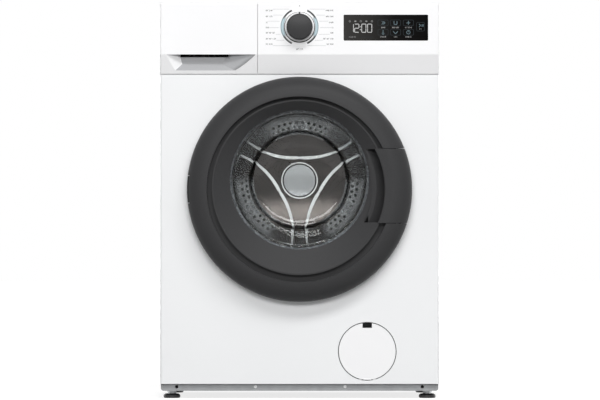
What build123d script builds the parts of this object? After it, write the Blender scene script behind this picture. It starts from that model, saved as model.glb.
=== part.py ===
from build123d import *
import os
from math import acos, atan2, cos, degrees, hypot, radians, sin, sqrt

# Front load washing machine as an assembly of separate pieces.
# Millimetres, +Z up, +X to the right of the viewer, +Y from the front to the back.
# The origin is on the floor under the middle of the whole machine.

# Driving sizes of the cabinet
CABINET_WIDTH = 595.0
CABINET_DEPTH = 495.0
CABINET_HEIGHT = 845.0
DOOR_PROUD = 52.0
INLET_PROUD = 14.0
SHEET = 1.0
WALL = 2.5
SEAM = 0.8
FIT = 0.05
SEAT = 0.2

HALF_W = CABINET_WIDTH / 2
FRONT_Y = (DOOR_PROUD - INLET_PROUD - CABINET_DEPTH) / 2
BACK_Y = FRONT_Y + CABINET_DEPTH

# Heights of the horizontal joints that show in front
BASE_Z = 16.0
PANEL_Z = BASE_Z + 15.0
LID_Z = CABINET_HEIGHT - 25.0
CREASE_Z = CABINET_HEIGHT - 111.6
FASCIA_Z = CABINET_HEIGHT - 154.0

# Depths of the front pieces, measured back from the face of the front panel
PANEL_FLANGE = 18.0
FLANGE = 16.0
FASCIA_PROUD = 15.0
FASCIA_LIP = 2.0
FASCIA_BACK = 25.0
LID_FRONT = FASCIA_BACK + 1.0
DRAWER_FRONT_BACK = 6.5

# The tub is as large as the width and the height of the cabinet let it be; the door follows it
TUB_SIDE_GAP = 45.5
TUB_HEADROOM = 341.0
TUB_R = min(HALF_W - TUB_SIDE_GAP, (CABINET_HEIGHT - TUB_HEADROOM) / 2)
TUB_WALL = 4.0
TUB_RIB = 3.0
TUB_OUTER = TUB_R + TUB_WALL
OPENING_R = TUB_R - 80.0

# Door
DOOR_R = OPENING_R + 68.0
DOOR_Z = FASCIA_Z - DOOR_R - 5.0
RING_WIDTH = 42.0
RING_CROWN = 38.0
RING_WAIST = -14.0
GROOVE_R = DOOR_R - RING_WIDTH - 0.5
FUNNEL_R = GROOVE_R - 13.9
FUNNEL_Z = DOOR_Z + 4.0
GLASS_R = OPENING_R - 24.0
DRUM_Z = DOOR_Z + 20.0
HANDLE_HEIGHT = 160.0
HANDLE_Z = DOOR_Z + 7.4
HANDLE_GAP = 1.0
HANDLE_X = DOOR_R - 32.0
HANDLE_DEPTH = -24.0
HANDLE_INNER_R = GROOVE_R - 16.5
HANDLE_PAN = -18.0
HOOK_SLOT = (HANDLE_X - 12.0, HANDLE_X + 18.0)
HINGE_X = 20.0 - DOOR_R
HINGE_DEPTH = -30.0
HINGE_HALF = 30.0

# Wash unit
TUB_FRONT = 60.0
TUB_BACK = CABINET_DEPTH - 99.0
TUB_SPLIT = (TUB_FRONT + TUB_BACK) / 2 + 2.0
DRUM_R = TUB_R - 11.0
DRUM_FRONT = TUB_FRONT + 14.0
DRUM_BACK = TUB_BACK - 18.0
DRUM_MOUTH_R = OPENING_R - 7.0
DRUM_HUB_R = 38.5
LIFTER_COUNT = 3
SHAFT_R = 15.0
FRONT_BEARING = TUB_BACK + 6.0
REAR_BEARING = TUB_BACK + 28.0
HUB_BACK = TUB_BACK + 44.0
PULLEY_R = TUB_R - 112.0
PULLEY_FRONT = TUB_BACK + 34.0
PULLEY_WIDTH = 18.0
MOTOR_X = 110.0
MOTOR_Z = 140.0
MOTOR_R = 62.0
MOTOR_PULLEY_R = 11.0
MOTOR_EARS = (MOTOR_X - 80.0, MOTOR_X + 55.0)
MOTOR_EAR_Z = MOTOR_Z + 65.0
SPRING_X = TUB_R - 20.0
SPRING_TOP_Z = LID_Z - 30.0
SPRING_LOW_Z = DRUM_Z + sqrt(TUB_OUTER**2 - SPRING_X**2) + 32.8
DAMPER_TOP_X = TUB_R - 92.0
DAMPER_TOP_Z = DRUM_Z - sqrt(TUB_OUTER**2 - DAMPER_TOP_X**2) - 34.2
DAMPER_LOW_X = DAMPER_TOP_X + 30.0
DAMPER_LOW_Z = PANEL_Z + 11.0
SUMP_HALF = 48.0
SUMP_Z = DRUM_Z - TUB_R - 22.0
SUMP_BACK = TUB_SPLIT - 14.0
SUMP_HOSE_Y = 120.0
SUMP_HOSE_TOP = SUMP_Z - 16.0
HEATER_HALF = 20.0
HEATER_Z = SUMP_Z + 14.0

# Controls and detergent drawer
DRAWER_WIDTH = 208.1
DRAWER_SEAM_X = DRAWER_WIDTH - HALF_W
TRAY_X0 = 12.5 - HALF_W
TRAY_X1 = DRAWER_SEAM_X - 12.6
TRAY_Z0 = FASCIA_Z + 27.0
TRAY_Z1 = CABINET_HEIGHT - 45.0
TRAY_BACK = 185.0
TRAY_ROOMS = (
    (TRAY_X0 + 2, TRAY_X0 + 53, 2.0), (TRAY_X0 + 55, TRAY_X0 + 117, 2.0), (TRAY_X0 + 119, TRAY_X1 - 2, 40.0),
)
DIAL_Z = CABINET_HEIGHT - 53.0
DIAL_R = 27.9
LIGHT_ARC_INNER = 33.6
LIGHT_ARC_OUTER = 40.4
LIGHT_ARC_SPAN = 130.0
DISPLAY_WIDTH = 180.2
DISPLAY_X1 = HALF_W - 23.5
DISPLAY = (DISPLAY_X1 - DISPLAY_WIDTH, DISPLAY_X1, CABINET_HEIGHT - 82.4, CABINET_HEIGHT - 27.0)
DISPLAY_CORNER = 2.5
BOARD_FRONT = -4.0
DISPENSER_HOSE_X = (TRAY_X0 + TRAY_X1) / 2 + 3.5
DISPENSER_HOSE_Y = TRAY_BACK - 25.0
DISPENSER_HOSE_TOP = TRAY_Z0 - 12.0
DISPENSER_HOSE_LOW = DRUM_Z + sqrt(TUB_OUTER**2 - DISPENSER_HOSE_X**2) + 26.4

# Drain side, feet and services
FILTER_X = HALF_W - 153.1
FILTER_Z = PANEL_Z + 69.5
FILTER_R = 61.0
FLAP_AXIS_Z = FILTER_Z - FILTER_R + 1.5
PUMP_FRONT = 56.0
PUMP_BACK = 150.0
PUMP_INLET_X = FILTER_X - 58.4
PUMP_OUTLET_X = FILTER_X + 49.6
PUMP_OUTLET_Y = 100.0
FOOT_X = HALF_W - 24.5
FOOT_R = 18.0
FOOT_PAD = 9.4
INLET_X = 107.5 - HALF_W
INLET_Z = CABINET_HEIGHT - 75.0
INLET_THREAD_R = 13.2
DRAIN_X = HALF_W - 59.5
DRAIN_Z = FILTER_Z
GLAND_X = HALF_W - 57.5
GLAND_Z = INLET_Z


def front(depth):
    """Y of a plane a given depth behind the face of the front panel."""
    return FRONT_Y + depth


def block(x0, x1, y0, y1, z0, z1):
    return Pos((x0 + x1) / 2, (y0 + y1) / 2, (z0 + z1) / 2) * Box(x1 - x0, y1 - y0, z1 - z0)


def rod_x(y, z, radius, x0, x1):
    return Pos((x0 + x1) / 2, y, z) * Rot(0, 90, 0) * Cylinder(radius, x1 - x0)


def rod_y(x, z, radius, y0, y1):
    return Pos(x, (y0 + y1) / 2, z) * Rot(90, 0, 0) * Cylinder(radius, y1 - y0)


def rod_z(x, y, radius, z0, z1):
    return Pos(x, y, (z0 + z1) / 2) * Cylinder(radius, z1 - z0)


def pipe_y(x, z, outer, inner, y0, y1):
    return rod_y(x, z, outer, y0, y1) - rod_y(x, z, inner, y0 - 1, y1 + 1)


def plate_yz(points, x0, x1):
    face = make_face(Polyline(*points, close=True))
    return extrude(Plane.YZ.offset(x0) * face, amount=x1 - x0)


def plate_xz(points, y0, y1):
    face = make_face(Polyline(*points, close=True))
    return extrude(Plane.XZ.offset(-y1) * face, amount=y1 - y0)


def plate_xy(points, z0, z1):
    face = make_face(Polyline(*points, close=True))
    return extrude(Plane.XY.offset(z0) * face, amount=z1 - z0)


def turned(outline, x, z):
    """Revolve an outline of (radius, depth behind the front panel) about a Y axis."""
    return Pos(x, FRONT_Y, z) * revolve(make_face(outline), Axis.Y)


def turned_points(points, x, z):
    return turned(Polyline(*points, close=True), x, z)


def about_y(shape, x, z, angle):
    """Turn a shape about a Y axis; a positive angle carries +Z towards +X."""
    return Pos(x, 0, z) * Rot(0, angle, 0) * Pos(-x, 0, -z) * shape


def mirrored(side, x0, x1, y0, y1, z0, z1):
    """A block given for the right-hand side, put on either side."""
    if side > 0:
        return block(x0, x1, y0, y1, z0, z1)
    return block(-x1, -x0, y0, y1, z0, z1)


def single(shape):
    """The one solid of a shape, so that each node holds exactly one body."""
    solids = shape.solids()
    return solids[0] if len(solids) == 1 else shape


# Cabinet sheet metal
def side_panel(side):
    seam_y = front(PANEL_FLANGE)
    back = BACK_Y - SHEET
    inside = HALF_W - FLANGE
    panel = mirrored(side, HALF_W - SHEET, HALF_W, seam_y + SEAM, back, PANEL_Z, LID_Z)
    panel += mirrored(side, inside, HALF_W - SHEET / 2, seam_y, seam_y + 2 * SHEET, PANEL_Z, FASCIA_Z)
    panel += mirrored(side, inside, HALF_W - SHEET / 2, back - SHEET, back, PANEL_Z, LID_Z)
    panel += mirrored(side, inside, HALF_W - SHEET / 2, front(LID_FRONT), back, LID_Z - SHEET, LID_Z)
    panel += mirrored(side, inside, HALF_W - SHEET / 2, seam_y + 2, back, PANEL_Z, PANEL_Z + SHEET)
    press = 4.0
    field = (seam_y + 70, back - 70, PANEL_Z + 99, FASCIA_Z - 51)
    panel += mirrored(
        side, HALF_W - press - SHEET, HALF_W - SHEET / 2,
        field[0] - SHEET, field[1] + SHEET, field[2] - SHEET, field[3] + SHEET,
    )
    panel -= mirrored(side, HALF_W - press, HALF_W + 1, *field)
    panel -= mirrored(side, inside - 1, HALF_W + 1, seam_y - 1, front(LID_FRONT), FASCIA_Z, LID_Z + 1)
    spring_y = front(TUB_SPLIT)
    panel += mirrored(
        side, SPRING_X - 14, HALF_W - SHEET / 2, spring_y - 12, spring_y + 12, LID_Z - 4, LID_Z - SHEET,
    )
    tongue = mirrored(
        side, SPRING_X - 12, SPRING_X + 12, spring_y - 2, spring_y + 2, SPRING_TOP_Z - 10, LID_Z - 4,
    )
    panel += tongue - rod_y(side * SPRING_X, SPRING_TOP_Z, 5, spring_y - 5, spring_y + 5)
    return panel


def front_panel():
    y0 = FRONT_Y
    y1 = front(PANEL_FLANGE)
    round_r = 5.0
    outer = block(-HALF_W, HALF_W, y0, y1, PANEL_Z, FASCIA_Z)
    outer = fillet(outer.edges().filter_by(Axis.Z).group_by(Axis.Y)[0], round_r)
    inner = block(
        SHEET - HALF_W, HALF_W - SHEET, y0 + SHEET, y1 - SHEET, PANEL_Z + SHEET, FASCIA_Z - SHEET,
    )
    inner = fillet(inner.edges().filter_by(Axis.Z).group_by(Axis.Y)[0], round_r - SHEET)
    window = block(
        FLANGE - HALF_W, HALF_W - FLANGE, y1 - 2 * SHEET, y1 + 1, PANEL_Z + FLANGE, FASCIA_Z - FLANGE,
    )
    panel = outer - inner - window
    panel += rod_y(0, DRUM_Z, OPENING_R + SHEET, y0, y0 + 13)
    panel -= rod_y(0, DRUM_Z, OPENING_R, y0 - 1, y0 + 14)
    panel -= block(*HOOK_SLOT, y0 - 1, y0 + 2, DOOR_Z - 12, DOOR_Z + 12)
    panel -= rod_y(FILTER_X, FILTER_Z, FILTER_R + 1.5, y0 - 1, y0 + 2)
    panel -= rod_y(FILTER_X, FILTER_Z, FILTER_R + 7, y0 + 3, y1 + 1)
    return panel


def rear_panel():
    y0 = BACK_Y - SHEET
    panel = block(-HALF_W, HALF_W, y0, BACK_Y, PANEL_Z, LID_Z)
    hole = extrude(
        Plane.XZ.offset(-y0 - 10) * Pos(0, DRUM_Z) * RectangleRounded(2 * PULLEY_R + 50, 2 * PULLEY_R + 80, 30), amount=20,
    )
    panel -= hole
    for x, z, radius in (
        (INLET_X, INLET_Z, 16.0), (GLAND_X, GLAND_Z, 9.0), (DRAIN_X, DRAIN_Z, 14.0),
    ):
        panel -= rod_y(x, z, radius, y0 - 1, BACK_Y + 1)
    for x, z in transit_places():
        panel -= rod_y(x, z, 14.0, y0 - 1, BACK_Y + 1)
    return panel


def transit_places():
    reach = HALF_W - 72.5
    return [(x, z) for x in (-reach, reach) for z in (DRUM_Z - 160, DRUM_Z + 150)]


def rear_service_cover():
    """Pressed plate over the belt opening, with its ring of screws."""
    bulge = 6.0
    width, height = 2 * PULLEY_R + 82, 2 * PULLEY_R + 112

    def pressing(margin, corner, reach, thick):
        outline = Pos(0, DRUM_Z) * RectangleRounded(width - margin, height - margin, corner)
        return extrude(Plane.XZ.offset(-BACK_Y - reach) * outline, amount=thick)

    cover = pressing(0, 32, SHEET, SHEET) + pressing(62, 24, bulge, bulge)
    cover -= pressing(64, 23, bulge - SHEET, 20)
    for x in (9 - width / 2, 0.0, width / 2 - 9):
        for z in (DRUM_Z - height / 2 + 9, DRUM_Z + height / 2 - 9):
            cover += rod_y(x, z, 4.0, BACK_Y + SHEET, BACK_Y + SHEET + 2.2)
    return cover


def top_cover():
    outer = block(-HALF_W, HALF_W, front(LID_FRONT), BACK_Y + 3, LID_Z, CABINET_HEIGHT)
    upright = outer.edges().filter_by(Axis.Z).group_by(Axis.Y)[-1]
    outer = fillet(upright, 6.0)
    rim = outer.faces().sort_by(Axis.Z)[-1].edges()
    outer = fillet([e for e in rim if e.center().Y > front(LID_FRONT) + 1], 3.0)
    wall = 3.0
    inner = block(
        wall - HALF_W, HALF_W - wall, front(LID_FRONT) + wall, BACK_Y + 3 - wall, LID_Z - 1, CABINET_HEIGHT - 3.5,
    )
    lid = outer - inner
    for i in range(4):
        x = HALF_W * (0.4 * i - 0.6)
        lid += block(x - 1.5, x + 1.5, front(LID_FRONT) + 1, BACK_Y + 1, CABINET_HEIGHT - 12, CABINET_HEIGHT - 3)
    return lid


def foot_places():
    return {
        "front_left": (-FOOT_X, front(45)), "front_right": (FOOT_X, front(45)),
        "rear_left": (-FOOT_X, BACK_Y - 45), "rear_right": (FOOT_X, BACK_Y - 45),
    }


def base_tray():
    """Pressed pan with a recessed plinth, foot bosses and the lower damper brackets."""
    y0 = front(7)
    y1 = BACK_Y - 6
    side = HALF_W - 1.5
    thick = 1.5
    outer = block(-side, side, y0, y1, BASE_Z, PANEL_Z)
    outer = fillet(outer.edges().filter_by(Axis.Y).group_by(Axis.Z)[0], 6.0)
    inner = block(thick - side, side - thick, y0 + thick, y1 - thick, BASE_Z + thick, PANEL_Z - thick)
    window = block(24 - side, side - 24, y0 + 20, y1 - 20, PANEL_Z - 3, PANEL_Z + 1)
    tray = outer - inner - window
    for x, y in foot_places().values():
        tray += rod_z(x, y, 16.0, BASE_Z, PANEL_Z - thick)
        tray -= rod_z(x, y, 5.0 + FIT, BASE_Z - 1, PANEL_Z + 1)
    rib = HALF_W - 97.5
    for y in (front(110), BACK_Y - 195, BACK_Y - 105):
        tray += block(-rib, rib, y - 3, y + 3, BASE_Z, BASE_Z + 8)
    y = front(TUB_SPLIT)
    for sign in (-1, 1):
        x = sign * DAMPER_LOW_X
        for y_lug in (y - 17, y + 13):
            tray += block(x - 12, x + 12, y_lug, y_lug + 4, BASE_Z, DAMPER_LOW_Z + 10)
        tray += rod_y(x, DAMPER_LOW_Z, 5.0, y - 17, y + 17)
    tray += block(FILTER_X - 40, FILTER_X + 40, front(72), front(140), BASE_Z, FILTER_Z - 42)
    tray -= block(FILTER_X - 36, FILTER_X + 36, front(76), front(136), BASE_Z + thick, FILTER_Z - 45)
    hole_z = PANEL_Z - 6.2
    for x, radius in ((35.5 - HALF_W, 3.5), (HALF_W - 35.5, 3.5), (-94.0, 2.0), (97.0, 2.0)):
        tray -= rod_y(x, hole_z, radius, y0 - 1, y0 + thick + 1)
    return tray


def foot(x, y):
    pad = [(0, 0), (FOOT_R - 2, 0), (FOOT_R, 2), (FOOT_R, FOOT_PAD - 3), (FOOT_R - 4, FOOT_PAD), (0, FOOT_PAD)]
    face = make_face(Polyline(*pad, close=True))
    body = Pos(x, y, 0) * revolve(Plane.XZ * face, Axis.Z)
    return body + rod_z(x, y, 5.0, FOOT_PAD - 1, PANEL_Z + 8)


def foot_lock_nuts():
    nuts = []
    for x, y in foot_places().values():
        hexagon = Pos(x, y, FOOT_PAD + 0.2) * extrude(RegularPolygon(9.5, 6), amount=BASE_Z - FOOT_PAD - 0.2)
        nuts.append(hexagon - rod_z(x, y, 5.0 + FIT, FOOT_PAD - 1, BASE_Z + 1))
    return Compound(children=nuts)


# Control fascia, dial and drawer
def fascia_outline(inset, back):
    """Section of the fascia in (y, z): sloping lower strip, upright face, rounded top."""
    low = FASCIA_Z + SEAM + inset
    top = CABINET_HEIGHT - inset
    slope = inset * 1.25
    points = [
        (back, low), (front(slope - FASCIA_LIP), low), (front(inset - FASCIA_PROUD), CREASE_Z + inset * 0.2),
        (front(inset - FASCIA_PROUD), top), (back, top),
    ]
    rounds = [0, 1.0, 0, max(5.0 - inset, 1.0), 0]
    return FilletPolyline(*points, radius=rounds, close=True)


def fascia_bar(inset, back, x0, x1):
    face = make_face(fascia_outline(inset, back))
    return extrude(Plane.YZ.offset(x0) * face, amount=x1 - x0)


def end_edges(shape, x):
    """The forward edges of one end of the bar, which carry a small round."""
    edges = shape.faces().sort_by_distance((x, FRONT_Y, CREASE_Z))
    end = [f for f in edges if abs(f.center().X - x) < 0.01][0]
    return [e for e in end.edges() if e.center().Y < front(FASCIA_LIP - 2)]


def control_fascia():
    left = DRAWER_SEAM_X + SEAM / 2
    back = front(FASCIA_BACK)
    bar = fascia_bar(0, back, left, HALF_W)
    bar = fillet(end_edges(bar, HALF_W), 4.0)
    bar -= fascia_bar(WALL, back + 5, left + WALL, HALF_W - WALL)
    frame = block(-HALF_W, left, front(DRAWER_FRONT_BACK + SEAM), back, FASCIA_Z + SEAM, CABINET_HEIGHT)
    frame -= block(TRAY_X0 - 1.7, TRAY_X1 + 1.7, FRONT_Y, back + 1, TRAY_Z0 - 0.3, TRAY_Z1 + 4)
    frame -= block(
        WALL - HALF_W, left - WALL, front(DRAWER_FRONT_BACK + SEAM) + WALL, back + 1,
        FASCIA_Z + 6, TRAY_Z0 - 6,
    )
    bar += frame
    bar -= rod_y(0, DIAL_Z, 4.5, front(-FASCIA_PROUD - 1), front(0))
    for side in (-1, 1):
        bar -= light_arc(side, front(-FASCIA_PROUD - 1), front(-FASCIA_PROUD + 1.3))
    x0, x1, z0, z1 = DISPLAY
    bar -= display_plate(0, -FASCIA_PROUD - 1, -FASCIA_PROUD + 1.5)
    bar -= block(x0 + 5, x1 - 5, front(-FASCIA_PROUD - 1), front(-FASCIA_PROUD + 5), z0 + 5, z1 - 5)
    for x in (-30.0, x1 + 8):
        for z in (z0 + 6, z1 - 4):
            bar += rod_y(x, z, 3.0, front(WALL - FASCIA_PROUD - 0.5), front(BOARD_FRONT))
    return bar


def light_arc(side, y0, y1):
    """One side of the broken ring of light about the dial."""
    ring = pipe_y(0, DIAL_Z, LIGHT_ARC_OUTER, LIGHT_ARC_INNER, y0, y1)
    half = radians(LIGHT_ARC_SPAN / 2)
    reach = 60.0
    wedge = [
        (0, DIAL_Z),
        (side * reach * cos(half), DIAL_Z + reach * sin(half)),
        (side * reach * 1.5, DIAL_Z),
        (side * reach * cos(half), DIAL_Z - reach * sin(half)),
    ]
    return ring & plate_xz(wedge, y0, y1)


def dial_light_ring():
    arcs = [light_arc(side, front(-FASCIA_PROUD), front(-FASCIA_PROUD + 1.3)) for side in (-1, 1)]
    return Compound(children=[single(a) for a in arcs])


def display_plate(inset, depth0, depth1):
    x0, x1, z0, z1 = DISPLAY
    outline = Pos((x0 + x1) / 2, (z0 + z1) / 2) * RectangleRounded(
        x1 - x0 - 2 * inset, z1 - z0 - 2 * inset, DISPLAY_CORNER - inset,
    )
    return extrude(Plane.XZ.offset(-front(depth1)) * outline, amount=depth1 - depth0)


def display_window():
    return display_plate(0.15, -FASCIA_PROUD, -FASCIA_PROUD + 1.5)


def control_board():
    """Circuit board with the display block and the rotary encoder soldered to it."""
    x0, x1, z0, z1 = DISPLAY
    board = block(-40, x1 + 14, front(BOARD_FRONT), front(BOARD_FRONT + 1.6), z0 - 2, z1 + 4)
    board += block(x0 + 6, x1 - 6, front(-FASCIA_PROUD + 1.5), front(BOARD_FRONT), z0 + 6, z1 - 6)
    board += block(-9, 9, front(-FASCIA_PROUD + WALL + 0.5), front(BOARD_FRONT), DIAL_Z - 9, DIAL_Z + 9)
    board -= rod_y(0, DIAL_Z, 3.0 + FIT, front(-FASCIA_PROUD), front(BOARD_FRONT) - 1)
    for x in (20.0, 50.0):
        board += block(x, x + 18, front(BOARD_FRONT + 1.6), front(BOARD_FRONT + 12), z0 + 8, z0 + 30)
    return board


def dial_skirt():
    profile = [
        (3.0 + FIT, -15.4), (31.4, -15.4), (31.4, -21.0), (30.4, -22.8), (3.0 + FIT, -22.8),
    ]
    return turned_points(profile, 0, DIAL_Z)


def dial_knob():
    profile = [
        (0, -5.5), (3.0, -5.5), (3.0, -22.8), (DIAL_R, -22.8), (DIAL_R, -35.0), (DIAL_R - 2.5, -37.0), (0, -37.0),
    ]
    return turned_points(profile, 0, DIAL_Z)


def grip_cavity():
    """Hollow under the drawer front: sloped floor and ends, deep under the top edge."""
    top = CREASE_Z
    left, right = -HALF_W, DRAWER_SEAM_X
    low, floor = FASCIA_Z - 15, top - 20.4
    mouth = [(left + 11.5, top), (right - 0.6, top), (right + 3.4, low), (left + 7.5, low)]
    deep = [(left + 41.5, top), (right - 62.6, top), (right - 76.6, floor), (left + 47.5, floor)]

    def section(points, depth):
        return Plane.XZ.offset(-front(depth)) * make_face(Polyline(*points, close=True))

    scoop = loft([section(mouth, -FASCIA_PROUD - 1.0), section(deep, 2.0)], ruled=True)
    behind = block(left + 43.5, right - 62.6, front(WALL + 0.5 - FASCIA_PROUD), front(2), top - 6, top + 16)
    return scoop, behind


def drawer_front():
    right = DRAWER_SEAM_X - SEAM / 2
    back = front(DRAWER_FRONT_BACK)
    bar = fascia_bar(0, back, -HALF_W, right)
    bar = fillet(end_edges(bar, -HALF_W), 4.0)
    solid_bar = bar
    bar -= fascia_bar(WALL, back + 5, WALL - HALF_W, right - WALL)
    for x in (13.5 - HALF_W, (right - HALF_W) / 2 - 2.5, right - 18.2):
        bar += block(x, x + WALL, front(-FASCIA_PROUD + 1), back, CREASE_Z + 20, CABINET_HEIGHT - 2)
    lining = block(
        7.5 - HALF_W, right - 1.2, front(-FASCIA_PROUD), front(2 + WALL), FASCIA_Z + 3, CREASE_Z + 19,
    )
    bar += lining & solid_bar
    scoop, behind = grip_cavity()
    return bar - scoop - behind


def drawer_tray():
    y0 = front(DRAWER_FRONT_BACK)
    y1 = front(TRAY_BACK)
    wall = 2.0
    tray = block(TRAY_X0, TRAY_X1, y0, y1, TRAY_Z0, TRAY_Z1)
    for x0, x1, reach in TRAY_ROOMS:
        tray -= block(x0, x1, y0 + 22, y1 - reach, TRAY_Z0 + wall, TRAY_Z1 + 1)
    tray -= block(TRAY_X0 + wall, TRAY_X1 - wall, y0 + wall, y0 + 20, TRAY_Z0 - 1, TRAY_Z1 - wall)
    return tray


def dispenser_housing():
    wall = 2.5
    x0, x1 = TRAY_X0 - 1.7, TRAY_X1 + 1.7
    z0, z1 = TRAY_Z0 - 0.3, TRAY_Z1 + 4
    y0, y1 = front(FASCIA_BACK), front(TRAY_BACK + 18)
    box = block(x0 - wall, x1 + wall, y0, y1 + wall, z0 - wall, z1 + wall)
    box -= block(x0, x1, y0 - 1, y1, z0, z1)
    y = front(DISPENSER_HOSE_Y)
    box += rod_z(DISPENSER_HOSE_X, y, 15.0, DISPENSER_HOSE_TOP, z0 - wall)
    box -= rod_z(DISPENSER_HOSE_X, y, 12.5, DISPENSER_HOSE_TOP - 1, z0 + 1)
    box += rod_y(INLET_X, INLET_Z, 8.0, y1, BACK_Y - 62)
    box -= rod_y(INLET_X, INLET_Z, 6.0, y1 - 1, BACK_Y)
    return box


def dispenser_hose():
    """Ribbed rubber sleeve from the dispenser down to the tub."""
    length = DISPENSER_HOSE_TOP - DISPENSER_HOSE_LOW
    folds = 4
    pitch = length / folds
    points = [(12.5, 0)]
    for i in range(folds):
        points += [(16.0, pitch * i), (19.0, pitch * (i + 0.5))]
    points += [(16.0, length), (12.5, length)]
    face = make_face(Polyline(*points, close=True))
    return Pos(DISPENSER_HOSE_X, front(DISPENSER_HOSE_Y), DISPENSER_HOSE_LOW) * revolve(Plane.XZ * face, Axis.Z)


def inlet_valve():
    """Solenoid water valve; its threaded stub passes out through the rear panel."""
    body = rod_y(INLET_X, INLET_Z, 12.0, BACK_Y - 62, BACK_Y - SHEET)
    body += block(INLET_X - 18, INLET_X + 18, BACK_Y - 7, BACK_Y - SHEET, INLET_Z - 18, INLET_Z + 18)
    body += rod_y(INLET_X, INLET_Z, INLET_THREAD_R + 1.8, BACK_Y - SHEET, BACK_Y + SHEET)
    body += rod_y(INLET_X, INLET_Z, INLET_THREAD_R, BACK_Y + SHEET, BACK_Y + INLET_PROUD)
    body += block(INLET_X - 14, INLET_X + 14, BACK_Y - 52, BACK_Y - 20, INLET_Z - 40, INLET_Z)
    body -= rod_y(INLET_X, INLET_Z, 5.0, BACK_Y - 63, BACK_Y - 30)
    return body - rod_y(INLET_X, INLET_Z, 9.0, BACK_Y - 30, BACK_Y + INLET_PROUD + 1)


# Door
def ring_outline(inset, inner_r, back):
    """Half section of the door ring: rounded back edge, elliptical crown."""
    crown_x = DOOR_R - RING_WIDTH
    rise = RING_WIDTH - inset
    height = RING_CROWN - inset
    waist = RING_WAIST
    heel = DOOR_R - 9.0 - inset
    edge = DOOR_R - inset
    low = waist + (edge - heel)
    crown = EllipticalCenterArc((crown_x, waist), rise, height, -90, arc_size=90)
    heel_arc = ThreePointArc(
        (edge, waist), (heel + (edge - heel) * cos(radians(45)), waist + (low - waist) * sin(radians(45))),
        (heel, low),
    )
    lines = [crown, heel_arc]
    if back > low:
        lines.append(Line((heel, low), (heel, back)))
    lines.append(Line((heel, max(low, back)), (inner_r, max(low, back))))
    lines.append(Line((inner_r, max(low, back)), (inner_r, waist - height)))
    lines.append(Line((inner_r, waist - height), (crown_x, waist - height)))
    return Curve() + lines


def handle_zone(margin, y0, y1):
    half = HANDLE_HEIGHT / 2 + margin
    return block(140, DOOR_R + 20, y0, y1, HANDLE_Z - half, HANDLE_Z + half)


def door_outer_ring():
    solid_ring = turned(ring_outline(0, GROOVE_R, -5), 0, DOOR_Z)
    hollow = turned(ring_outline(3, GROOVE_R, 4), 0, DOOR_Z)
    hollow -= rod_y(0, DOOR_Z, GROOVE_R + 3, front(-60), front(10))
    ring = solid_ring - hollow
    ring -= rod_y(0, DOOR_Z, GROOVE_R + 4, front(-9), front(0))
    y0, y1 = front(-60), front(4)
    ring -= handle_zone(0, y0, y1)
    half = HANDLE_HEIGHT / 2
    for z0 in (HANDLE_Z - half - 3, HANDLE_Z + half):
        ring += solid_ring & block(140, DOOR_R + 20, y0, front(-9), z0, z0 + 3)
    ring -= block(-DOOR_R - 10, HINGE_X + 10, front(HINGE_DEPTH), front(4), DOOR_Z - HINGE_HALF, DOOR_Z + HINGE_HALF)
    ring -= rod_z(HANDLE_X, front(HANDLE_DEPTH), 2.5, HANDLE_Z - 84, HANDLE_Z + 84)
    return ring


def cone(x_z_low, r_low, y_low, x_z_high, r_high, y_high):
    """Ruled solid between two circles that do not share a centre."""
    first = Plane.XZ.offset(-y_low) * Pos(0, x_z_low) * Circle(r_low)
    second = Plane.XZ.offset(-y_high) * Pos(0, x_z_high) * Circle(r_high)
    return loft([first, second], ruled=True)


def door_front_frame():
    """Groove, eccentric funnel down to the glass, and the finger hollow behind the handle."""
    wall = 3.0
    rim = front(-46)
    floor = front(-34)
    seat = front(-24)
    mouth = front(-27)
    groove = rod_y(0, DOOR_Z, GROOVE_R - SEAT, floor, floor + wall)
    groove -= rod_y(0, FUNNEL_Z, FUNNEL_R + 1, floor - 1, floor + wall + 1)
    drum = rod_y(0, FUNNEL_Z, FUNNEL_R + wall, rim, seat)
    air = cone(FUNNEL_Z, FUNNEL_R, rim, DRUM_Z, GLASS_R, mouth)
    shell = cone(FUNNEL_Z, FUNNEL_R + wall, rim, DRUM_Z, GLASS_R + wall, seat)
    hollow = rod_y(0, FUNNEL_Z, FUNNEL_R, rim + wall, seat + 1) - shell
    hollow -= rod_y(0, DRUM_Z, GLASS_R + wall, rim, seat + 1)
    frame = drum - air - hollow - rod_y(0, DRUM_Z, GLASS_R, mouth - 1, seat + 1)
    frame += groove
    half = HANDLE_HEIGHT / 2
    z0, z1 = HANDLE_Z - half + 2, HANDLE_Z + half - 2
    inner_x = GLASS_R - 2
    solid_funnel = drum - air
    for wall_z in (z0 - wall, z1):
        frame += solid_funnel & block(inner_x, DOOR_R, rim, seat, wall_z, wall_z + wall)
    zone = block(inner_x - 8, DOOR_R, front(-60), FRONT_Y, z0, z1)
    frame -= turned_points(finger_floor(0) + [(DOOR_R, -60), (GLASS_R + 6, -60)], 0, FUNNEL_Z) & zone
    floor_plate = finger_floor(0) + finger_floor(wall)[::-1]
    pan = turned_points(floor_plate, 0, FUNNEL_Z) & block(inner_x, DOOR_R, front(-60), FRONT_Y, z0 - 1, z1 + 1)
    pan &= rod_y(0, DOOR_Z, DOOR_R - 9, front(-60), front(0))
    pan -= rod_y(0, DRUM_Z, GLASS_R + 17 + SEAT, seat, front(0))
    frame += pan - rod_y(0, DRUM_Z, GLASS_R, front(-60), front(0))
    frame -= block(*HOOK_SLOT, front(-30), front(0), DOOR_Z - 8, DOOR_Z + 8)
    return frame


def finger_floor(drop):
    """Floor of the finger hollow as (radius, depth): it leaves the funnel in a soft dip and runs under the handle."""
    start = GLASS_R + 6
    return [
        (start, -30 + drop), (start + 5, -31.2 + drop), (start + 10, -30.6 + drop), (start + 15, -28 + drop),
        (start + 32, HANDLE_PAN + drop), (DOOR_R, HANDLE_PAN + drop),
    ]


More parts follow.
